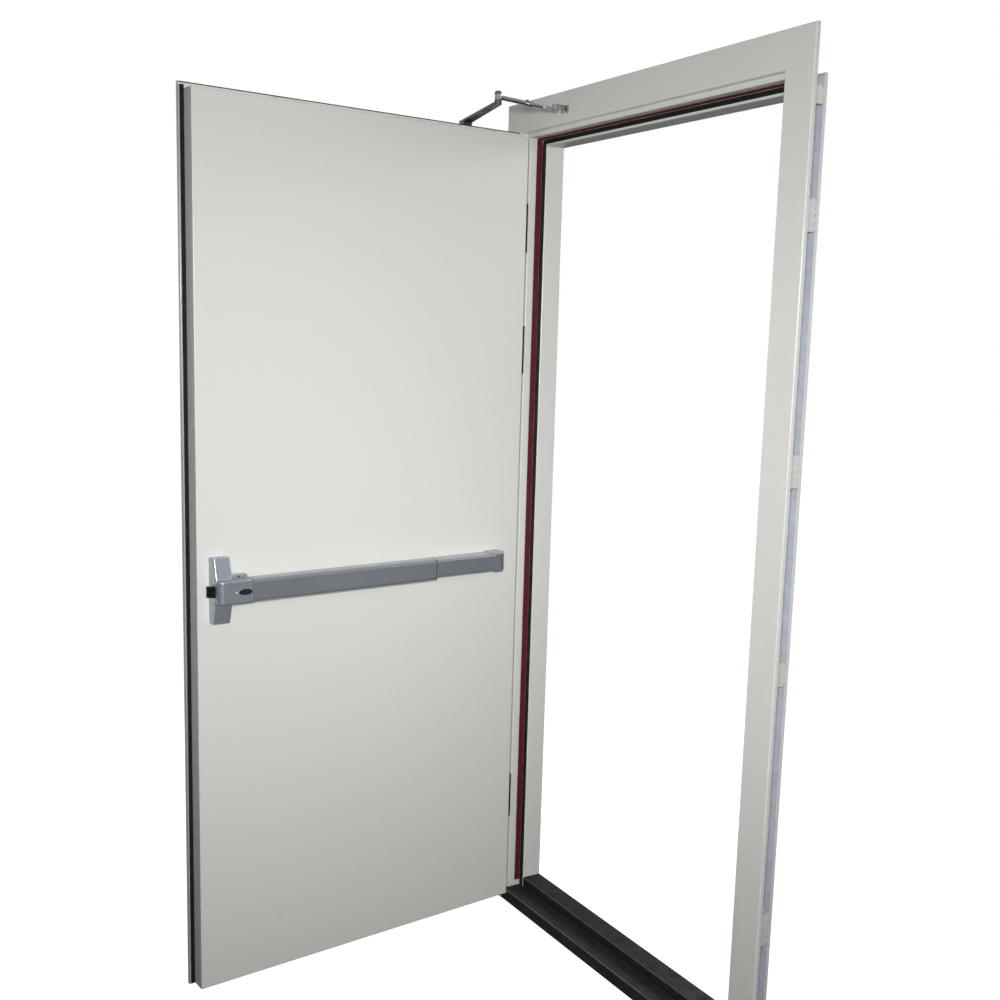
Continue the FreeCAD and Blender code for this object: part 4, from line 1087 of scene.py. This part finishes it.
@dataclass
class DoorFrame(SubAssembly):
    """Jambs, head, straps, seals and keeper. A screw is given by its radius and its rise."""

    seam_width: float = 1.6
    seam_rise: float = 0.25
    seam_round: float = 0.2
    seam_inset: float = 2.0
    seam_root: float = 1.0
    seal_foot: float = 16.0
    gasket_root: float = 2.0
    gasket_foot: float = 35.4
    strap_skin: float = 0.2
    tack_radius: float = 2.2
    tack_long: float = 16.0
    tack_inset: float = 1.6
    dot_radius: float = 1.76
    dot_long: float = 1.2
    dot_step: float = 13.0
    dot_inset: float = 2.2
    dot_shift: float = 0.8
    keeper_screw: Point = (4.0, 0.8)
    keeper_inset: Point3 = (2.0, 12.0, 9.0)

    def build(self) -> None:
        """Make and dress the frame's pieces."""
        dress(self.finishes.frame_paint, "hinge_jamb", "strike_jamb", "head_member")
        dress(self.finishes.strap, "hinge_jamb_anchors", "strike_jamb_anchors")
        dress(self.finishes.hinge_steel, "strike_keeper")
        self.seams()
        self.seals()
        self.gaskets()
        for side in Side:
            self.welds(side)
        self.keeper_screws()

    def seams(self) -> None:
        """Filled butt seams where the head meets the jambs on the face."""
        low, high = still_box("head_member")
        inner = still_box("sill")[1].x
        foot = high.z - (still_box("strike_jamb")[1].x - inner)
        half = self.seam_width / 2
        work = Work()
        for side in Side:
            middle = side.value * (inner + self.seam_inset)
            corner = (middle - half, low.y - self.seam_rise, foot)
            far = (middle + half, low.y + self.seam_root, high.z - self.seam_root)
            work.bar(corner, far, Matrix(), self.seam_round)
        work.finish("face_seams", self.finishes.frame_paint, Body.FRAME, Slot.FRAME_PAINT)

    def seals(self) -> None:
        """Ridged fire seals in the rebate."""
        for side in Side:
            node = side.name.lower() + "_side_fire_seal"
            low, high = still_box(node)
            foot = low.z + self.seal_foot
            at = (low.x, high.y, foot) if side is Side.HINGE else (high.x, low.y, foot)
            size = (high.y - low.y, high.x - low.x, high.z - foot)
            self.lay(Strip.SEAL, node, size, facing(at, (0, 0, 1), (0, side.value, 0)), Body.FRAME)
        low, high = still_box("head_fire_seal")
        placed = facing((low.x, low.y, high.z), (1, 0, 0), (0, 1, 0))
        size = (high.y - low.y, low.z - high.z, high.x - low.x)
        self.lay(Strip.SEAL, "head_fire_seal", size, placed, Body.FRAME)

    def gaskets(self) -> None:
        """Lipped stop gaskets on both jambs and the head."""
        for side in Side:
            node = side.name.lower() + "_side_stop_gasket"
            low, high = still_box(node)
            start = high.x + (self.gasket_root if side is Side.STRIKE else 0.0)
            placed = facing((start, high.y, self.gasket_foot), (0, 0, 1), (-1, 0, 0))
            size = (high.x - low.x + self.gasket_root, high.y - low.y, high.z - self.gasket_foot)
            self.lay(Strip.GASKET, node, size, placed, Body.FRAME)
        low, high = still_box("head_stop_gasket")
        placed = facing((low.x, high.y, low.z), (1, 0, 0), (0, 0, 1))
        size = (high.z - low.z, high.y - low.y, high.x - low.x)
        self.lay(Strip.GASKET, "head_stop_gasket", size, placed, Body.FRAME)

    def welds(self, side: Side) -> None:
        """Tack welds where each strap meets the jamb.

        Args:
            side: Which jamb.
        """
        node = side.name.lower() + "_jamb_anchors"
        low, high = still_box(node)
        levels = sorted({round(vert.co.z / MM, 2) for vert in frame["nodes"][node].data.vertices
                         if vert.co.y / MM > high.y - self.strap_skin})
        outer = high.x if side is Side.STRIKE else low.x
        out = (side.value, 0, 0)
        work = Work()
        for strap_foot, strap_top in zip(levels[::2], levels[1::2]):
            bottom, top = strap_foot + self.tack_radius, strap_top - self.tack_radius
            tall = top - bottom
            run = min(self.tack_long, tall)
            start = Vector((outer, low.y + self.tack_inset, (bottom + top - run) / 2))
            work.bead(start, Vector((0, 0, run)), self.tack_radius, out)
            spots = max(2, round(tall / self.dot_step))
            for spot in range(spots):
                depth = high.y - self.dot_inset - self.dot_shift * (spot % 2)
                at = Vector((outer, depth, bottom + tall * spot / (spots - 1)))
                work.bead(at, Vector((0, self.dot_long, 0)), self.dot_radius, out)
        work.finish(side.name.lower() + "_strap_welds", self.finishes.weld, Body.FRAME, Slot.GALVANISED)

    def keeper_screws(self) -> None:
        """Two screws in the strike keeper."""
        low, high = still_box("strike_keeper")
        across, depth, rise = self.keeper_inset
        work = Work()
        for level in (low.z + rise, high.z - rise):
            work.screw(*self.keeper_screw, facing((high.x - across, high.y - depth, level), (-1, 0, 0)))
        work.finish("keeper_screws", self.finishes.hinge_steel, Body.FRAME, Slot.HINGE)


@dataclass
class Sill(SubAssembly):
    """Dark folded sill and its wavy gasket; each ripple has a pace and a share."""

    wave: float = 1.1
    waves: int = 9
    cuts: int = 90
    ripples: tuple[Point, ...] = ((1.0, 0.6), (2.7, 0.4))

    def build(self) -> None:
        """Dress the sill and lay its gasket."""
        dress(self.finishes.sill_steel, "sill")
        low, high = still_box("sill_stop_gasket")
        placed = facing((low.x, high.y, low.z), (1, 0, 0), (0, 0, 1))
        length = high.x - low.x
        tall = high.z - low.z - 2 * self.wave
        section = [(x + self.wave, y) for x, y in scaled(LIP_SECTION, tall, high.y - low.y)]
        work = Work()
        for vert in work.strip(section, length, placed, self.cuts):
            turn = (vert.co.x / MM - low.x) / length * self.waves * math.tau
            sway = sum(share * math.sin(turn * pace) for pace, share in self.ripples)
            vert.co.z += sway * self.wave * MM
        work.finish("sill_gasket_wavy", self.finishes.rubber, Body.FRAME, Slot.GASKET, ["sill_stop_gasket"])


@dataclass
class HingeSet(SubAssembly):
    """Three hinges with their countersunk screws."""

    screw: Point = (4.6, 0.5)
    spread: float = 42.0
    depth: float = -30.0
    plate: float = 2.0

    def build(self) -> None:
        """Dress the hinges and drive their screws."""
        paint = self.finishes.hinge_paint
        for level in ("upper", "middle", "lower"):
            fixed, swung = level + "_hinge_frame_plate", level + "_hinge_leaf_plate"
            dress(self.finishes.hinge_plate_paint, fixed)
            dress(paint, swung)
            dress(self.finishes.hinge_steel, level + "_hinge_pin")
            low, high = still_box(fixed)
            leaf_side = self.layout.box(swung)[1].x - self.plate
            middle = (low.z + high.z) / 2
            on_frame, on_leaf = Work(), Work()
            for rise in (middle - self.spread, middle, middle + self.spread):
                on_frame.screw(*self.screw, facing((high.x, self.depth, rise), (1, 0, 0)))
                on_leaf.screw(*self.screw, self.layout.facing((leaf_side, self.depth, rise), (-1, 0, 0)))
            on_frame.finish(level + "_hinge_frame_screws", paint, Body.FRAME, Slot.FRAME_PAINT)
            on_leaf.finish(level + "_hinge_leaf_screws", paint, Body.LEAF, Slot.LEAF_PAINT)


@dataclass
class DoorLeaf(SubAssembly):
    """The leaf's tray, its face sheet and edge gaskets."""

    hem_width: float = 4.2
    hem_gap: float = 0.2
    hem_round: float = 0.45
    top_gasket: float = 2.2

    def build(self) -> None:
        """Dress the leaf and lay its gaskets and hem."""
        dress(self.finishes.leaf_paint, "leaf_body", "leaf_face_sheet")
        low, high = self.layout.box("lock_edge_gasket")
        inner = high.x - self.hem_width
        thick = high.y - low.y
        placed = self.layout.facing((inner, low.y, low.z), (0, 0, 1), (-1, 0, 0))
        size = (inner - low.x, -thick, high.z - low.z)
        self.lay(Strip.GASKET, "lock_edge_gasket", size, placed, Body.LEAF)
        hem = Work()
        corner = (inner + self.hem_gap, low.y - thick, low.z)
        hem.bar(corner, high, self.layout.turn, self.hem_round * thick)
        # The hem wears the darker copy of the leaf's paint, painted shade.
        hem.finish("lock_edge_rolled_hem", self.finishes.hem_shaded_paint, Body.LEAF, Slot.LEAF_PAINT)
        low, high = self.layout.box("top_edge_gasket")
        low.z = high.z - self.top_gasket
        placed = self.layout.facing(low, (1, 0, 0), (0, 0, 1))
        size = (self.top_gasket, low.y - high.y, high.x - low.x)
        self.lay(Strip.GASKET, "top_edge_gasket", size, placed, Body.LEAF)


@dataclass
class TouchBar(SubAssembly):
    """Rail, pad, rail cover and end cap of the touch bar."""

    screw: Point = (3.2, 0.8)
    screw_depth: float = 12.0
    plate_rise: float = 1.0
    plate_root: float = 0.5
    plate_round: float = 0.45
    plate_top: float = 7.0
    plate_foot: float = 6.0
    plate_end: float = 2.0
    cheek: float = 2.2
    cheek_round: float = 0.66
    cheek_back: float = 1.0
    cheek_foot: float = 0.6

    def build(self) -> None:
        """Dress the bar, drive its screws and close the pad with its plate and cheeks."""
        dress(self.finishes.silver, "touch_bar_rail", "touch_bar_pad", "touch_bar_rail_cover",
              "touch_bar_end_cap")
        low, high = self.layout.box("touch_bar_end_cap")
        middle = (low.x + high.x) / 2
        work = Work()
        for level, out in ((low.z, -1), (high.z, 1)):
            at = (middle, low.y + self.screw_depth, level)
            work.screw(*self.screw, self.layout.facing(at, (0, 0, out)))
        work.finish("end_cap_screws", self.finishes.dark_steel, Body.LEAF, Slot.LATCH)
        low, high = self.layout.box("touch_bar_pad")
        plate, cheeks = Work(), Work()
        corner = (low.x + self.plate_end, high.y - self.plate_root, low.z + self.plate_foot)
        far = (high.x - self.plate_end, high.y + self.plate_rise, high.z - self.plate_top)
        plate.bar(corner, far, self.layout.turn, self.plate_round)
        plate.finish("pad_face_plate", self.finishes.silver, Body.PAD, Slot.SILVER)
        # The dark cheeks at the pad's ends are partly real plastic end pieces and partly painted shade for
        # the shadow line at each end.
        for start in (low.x - self.cheek, high.x):
            corner = (start, low.y + self.cheek_back, low.z + self.cheek_foot)
            cheeks.bar(corner, (start + self.cheek, high.y, high.z), self.layout.turn, self.cheek_round)
        cheeks.finish("pad_end_cheeks", self.finishes.plug, Body.PAD, Slot.PLUG)


@dataclass
class LatchSet(SubAssembly):
    """Latch case with its base, wings, bolt and oval plug."""

    rim_wire: float = 0.7
    stud: Point = (2.4, 0.9)
    stud_round: float = 0.6
    stud_sides: int = 20
    stud_gap: float = 5.0
    base_screw: Point = (2.6, 0.7)
    wing_screw: Point = (3.0, 0.7)
    wing_depth: float = 9.0

    def build(self) -> None:
        """Dress the latch set and add its small parts."""
        dress(self.finishes.cast_silver, "latch_case", "latch_case_base", "latch_wing_cover")
        dress(self.finishes.dark_steel, "latch_bolt")
        dress(self.finishes.plug, "case_oval_plug")
        self.oval_rim()
        self.screws()

    def oval_rim(self) -> None:
        """A raised rim round the oval plug and a pale stud beside it."""
        low, high = self.layout.box("case_oval_plug")
        front = self.layout.box("latch_case")[1].y
        middle = (low + high) / 2
        length, width = high.x - low.x, high.z - low.z
        rim, stud = Work(), Work()
        placed = self.layout.facing((middle.x, front, middle.z), (0, 1, 0), (1, 0, 0))
        rim.ring(length / 2, self.rim_wire, width / length, placed)
        rim.finish("oval_plug_rim", self.finishes.cast_silver, Body.LEAF, Slot.SILVER)
        placed = self.layout.facing((high.x + self.stud_gap, front, middle.z), (0, 1, 0))
        stud.post(*self.stud, placed, self.stud_round, self.stud_sides)
        stud.finish("case_stud", self.finishes.strap, Body.LEAF, Slot.ARM)

    def screws(self) -> None:
        """Screws of the base and of the wing cover."""
        base_low, base_high = self.layout.box("latch_case_base")
        case_low, case_high = self.layout.box("latch_case")
        wing_low, wing_high = self.layout.box("latch_wing_cover")
        across = (base_low.x + base_high.x) / 2
        middle = (wing_low.x + wing_high.x) / 2
        work = Work()
        for level in ((base_low.z + case_low.z) / 2, (base_high.z + case_high.z) / 2):
            work.screw(*self.base_screw, self.layout.facing((across, base_high.y, level), (0, 1, 0)))
        for level, out in ((wing_low.z, -1), (wing_high.z, 1)):
            at = (middle, wing_low.y + self.wing_depth, level)
            work.screw(*self.wing_screw, self.layout.facing(at, (0, 0, out)))
        work.finish("latch_case_screws", self.finishes.dark_steel, Body.LEAF, Slot.LATCH)


@dataclass
class Closer(SubAssembly):
    """Overhead closer with its folding arm and shoe."""

    block_top: float = 2099.0
    plug: Point = (14.0, 2.0)
    bolt: Point = (4.5, 1.2)
    bolt_inset: float = 10.0
    valve: Point = (3.0, 0.8)
    pinion: Point = (13.0, 1.6)
    spindle: Point = (-475.2, -225.9)
    foot_screw: Point = (6.0, 2.0)
    foot_top: float = 2127.0
    clamp_screw: Point = (3.2, 1.4)
    clamp: Point3 = (-281.7, -165.0, 2155.8)
    shoe_screw: Point = (3.2, 1.0)
    shoe_reach: float = 10.0
    shoe_plate: float = 4.0

    def build(self) -> None:
        """Dress the closer and add its small parts."""
        dress(self.finishes.closer_paint, "closer_body")
        # The main arm wears the darker copy of the plating, painted shade for its dark reflection.
        dress(self.finishes.arm_painted_shade, "closer_main_arm")
        dress(self.finishes.arm_plate, "closer_forearm_tube", "closer_forearm_rod", "closer_shoe")
        self.block()
        self.arm_screws()

    def block(self) -> None:
        """End plugs, valves, fixing bolts and pinion cap of the closer's block."""
        place = self.layout.facing
        low, high = self.layout.box("closer_body")
        middle = (low.y + high.y) / 2, (low.z + self.block_top) / 2
        levels = low.z + self.bolt_inset, self.block_top - self.bolt_inset
        plugs, bolts = Work(), Work()
        for end, out in ((low.x, -1), (high.x, 1)):
            plugs.screw(*self.plug, place((end, *middle), (out, 0, 0)), Recess.HEX)
            for rise in levels:
                at = (end - out * self.bolt_inset, low.y, rise)
                bolts.screw(*self.bolt, place(at, (0, -1, 0)), Recess.HEX)
        for rise in levels:
            at = (high.x, low.y + self.bolt_inset, rise)
            bolts.screw(*self.valve, place(at, (1, 0, 0)), Recess.SLOT)
        pinion = self.layout.back @ (Vector((*self.spindle, 0.0)) * MM) / MM
        plugs.screw(*self.pinion, place((pinion.x, pinion.y, low.z), (0, 0, -1)), Recess.HEX)
        plugs.finish("closer_end_plugs", self.finishes.closer_paint, Body.LEAF, Slot.CLOSER)
        bolts.finish("closer_fixing_bolts", self.finishes.dark_steel, Body.LEAF, Slot.LATCH)

    def arm_screws(self) -> None:
        """Screws of the arm's foot, of the forearm's clamp and of the shoe."""
        up = (0, 0, 1)
        foot, clamp, shoe = Work(), Work(), Work()
        foot.screw(*self.foot_screw, facing((*self.spindle, self.foot_top), up), Recess.HEX)
        foot.finish("arm_foot_screw", self.finishes.arm_plate, Body.MAIN_ARM, Slot.ARM)
        clamp.screw(*self.clamp_screw, facing(self.clamp, up), Recess.HEX)
        clamp.finish("forearm_clamp_screw", self.finishes.dark_steel, Body.FOREARM, Slot.LATCH)
        low, high = still_box("closer_shoe")
        middle = (low + high) / 2
        for reach in (-self.shoe_reach, self.shoe_reach):
            at = (middle.x + reach, high.y - self.shoe_plate, middle.z)
            shoe.screw(*self.shoe_screw, facing(at, (0, -1, 0)))
        shoe.finish("shoe_screws", self.finishes.dark_steel, Body.FRAME, Slot.LATCH)


@dataclass(frozen=True)
class PhotoCamera:
    """Camera where the photograph was taken from."""

    place: Point3 = (2.26634, -1.77732, 1.59413)
    yaw: float = 58.668
    pitch: float = 8.942
    roll: float = -1.563
    lens: float = 43.137
    sensor: float = 36.0
    shift: Point = (0.00557, 0.0237)

    def build(self) -> None:
        """Make the camera and give it to the scene."""
        yaw, pitch, roll = (math.radians(angle) for angle in (self.yaw, self.pitch, self.roll))
        level = Vector((-math.sin(yaw), math.cos(yaw), 0))
        right = Vector((math.cos(yaw), math.sin(yaw), 0))
        down = Vector((0, 0, -1))
        ahead = math.cos(pitch) * level + math.sin(pitch) * down
        under = math.cos(pitch) * down - math.sin(pitch) * level
        right, under = (math.cos(roll) * right + math.sin(roll) * under,
                        math.cos(roll) * under - math.sin(roll) * right)
        turn = Matrix((right, -under, -ahead)).transposed().to_4x4()
        data = bpy.data.cameras.new("photo_camera")
        data.lens = self.lens
        data.sensor_width = self.sensor
        data.shift_x, data.shift_y = self.shift
        camera = bpy.data.objects.new("photo_camera", data)
        camera.matrix_world = Matrix.Translation(self.place) @ turn
        bpy.context.collection.objects.link(camera)
        bpy.context.scene.camera = camera


@dataclass(frozen=True)
class Softbox:
    """One soft studio lamp."""

    name: str
    place: Point3
    aim: Point3
    size: float
    power: float
    spread: float = 180.0

    def build(self) -> None:
        """Hang the lamp and turn it to its aim."""
        data = bpy.data.lights.new(self.name, "AREA")
        data.size = self.size
        data.energy = self.power
        data.spread = math.radians(self.spread)
        lamp = bpy.data.objects.new(self.name, data)
        lamp.location = self.place
        lamp.rotation_mode = "QUATERNION"
        lamp.rotation_quaternion = (Vector(self.aim) - Vector(self.place)).to_track_quat("-Z", "Y")
        lamp.visible_camera = False
        bpy.context.collection.objects.link(lamp)


@dataclass(frozen=True)
class Studio:
    """Pale floor, white surround and lamps."""

    fill: float = 0.04
    sheen: float = 0.5
    floor_half: float = 20.0
    floor_seen: float = 0.6
    floor_bounce: float = 0.03
    floor_gloss: float = 0.08
    floor_rough: float = 0.9
    floor_glow: Point = (0.92, 1.0)
    glow_reach: Point = (1.6, 5.0)
    lamps: tuple[Softbox, ...] = (
        Softbox("key_lamp", (2.37, -1.84, 1.76), (0.05, -0.48, 1.19), 0.3, 23.2, 90.0),
        Softbox("top_lamp", (-0.05, -1.6, 3.4), (-0.3, -0.3, 0.9), 2.0, 4.8),
        Softbox("rear_lamp", (-1.5, 2.8, 2.4), (0.0, 0.0, 1.1), 1.2, 20.0, 120.0),
        Softbox("rear_right_lamp", (1.6, 2.6, 2.2), (0.3, 0.0, 1.1), 1.2, 12.0, 140.0),
        Softbox("left_lamp", (-2.8, -0.5, 1.2), (-0.5, -0.5, 1.0), 1.2, 11.0, 140.0),
    )

    def switch(self, tree: bpy.types.NodeTree, ray: str, chosen: object, other: object) -> NodeSocket:
        """A number that one kind of ray sees in place of another number.

        Args:
            tree: The node tree to add to.
            ray: Output of the Light Path node that picks the ray.
            chosen: A number or socket for that ray.
            other: A number or socket for all other rays.

        Returns:
            The number's socket.
        """
        path = tree.nodes.new("ShaderNodeLightPath")
        level = tree.nodes.new("ShaderNodeMapRange")
        tree.links.new(path.outputs[ray], level.inputs["Value"])
        for socket, value in ((level.inputs["To Max"], chosen), (level.inputs["To Min"], other)):
            if isinstance(value, NodeSocket):
                tree.links.new(value, socket)
            else:
                socket.default_value = value
        return level.outputs["Result"]

    def build(self) -> None:
        """Set the view, the surround, the floor and the lamps."""
        bpy.context.scene.view_settings.view_transform = "Standard"
        self.surround()
        self.floor()
        for lamp in self.lamps:
            lamp.build()

    def surround(self) -> None:
        """White to the eye, dimmer in gloss, and dim as a light on the door."""
        world = bpy.data.worlds.new("white_surround")
        world.use_nodes = True
        tree = world.node_tree
        shine = tree.nodes["Background"]
        shine.inputs["Color"].default_value = (1, 1, 1, 1)
        gloss = self.switch(tree, "Is Glossy Ray", self.sheen, self.fill)
        tree.links.new(self.switch(tree, "Is Camera Ray", 1.0, gloss), shine.inputs["Strength"])
        bpy.context.scene.world = world

    def floor(self) -> None:
        """A pale floor that keeps the door's shadow."""
        mesh = bmesh.new()
        bmesh.ops.create_grid(mesh, x_segments=1, y_segments=1, size=self.floor_half)
        bmesh.ops.translate(mesh, vec=(0, 0, -MM), verts=list(mesh.verts))
        data = bpy.data.meshes.new("studio_floor")
        mesh.to_mesh(data)
        mesh.free()
        floor = bpy.data.objects.new("studio_floor", data)
        bpy.context.collection.objects.link(floor)
        pale = Shader("pale_floor")
        away = pale.add("ShaderNodeVectorMath", operation="LENGTH")
        pale.feed(away.inputs[0], pale.place)
        seen = pale.span(away.outputs["Value"], *self.glow_reach, *self.floor_glow)
        gloss = self.switch(pale.tree, "Is Glossy Ray", self.floor_gloss, 0.0)
        shade = self.switch(pale.tree, "Is Camera Ray", self.floor_seen, self.floor_bounce)
        pale.set(Base_Color=shade, Roughness=self.floor_rough, Specular_IOR_Level=0.0,
                 Emission_Color=(1.0, 1.0, 1.0),
                 Emission_Strength=self.switch(pale.tree, "Is Camera Ray", seen, gloss))
        data.materials.append(pale.material)


def main() -> None:
    """Build the door's sub-assemblies in order, then the camera and the studio."""
    logging.basicConfig(level=logging.INFO, format="%(message)s")
    layout = Layout()
    finishes = Finishes(layout)
    for kind in (DoorFrame, Sill, HingeSet, DoorLeaf, TouchBar, LatchSet, Closer):
        kind(layout, finishes).build()
    PhotoCamera().build()
    Studio().build()


if __name__ == "__main__":
    main()
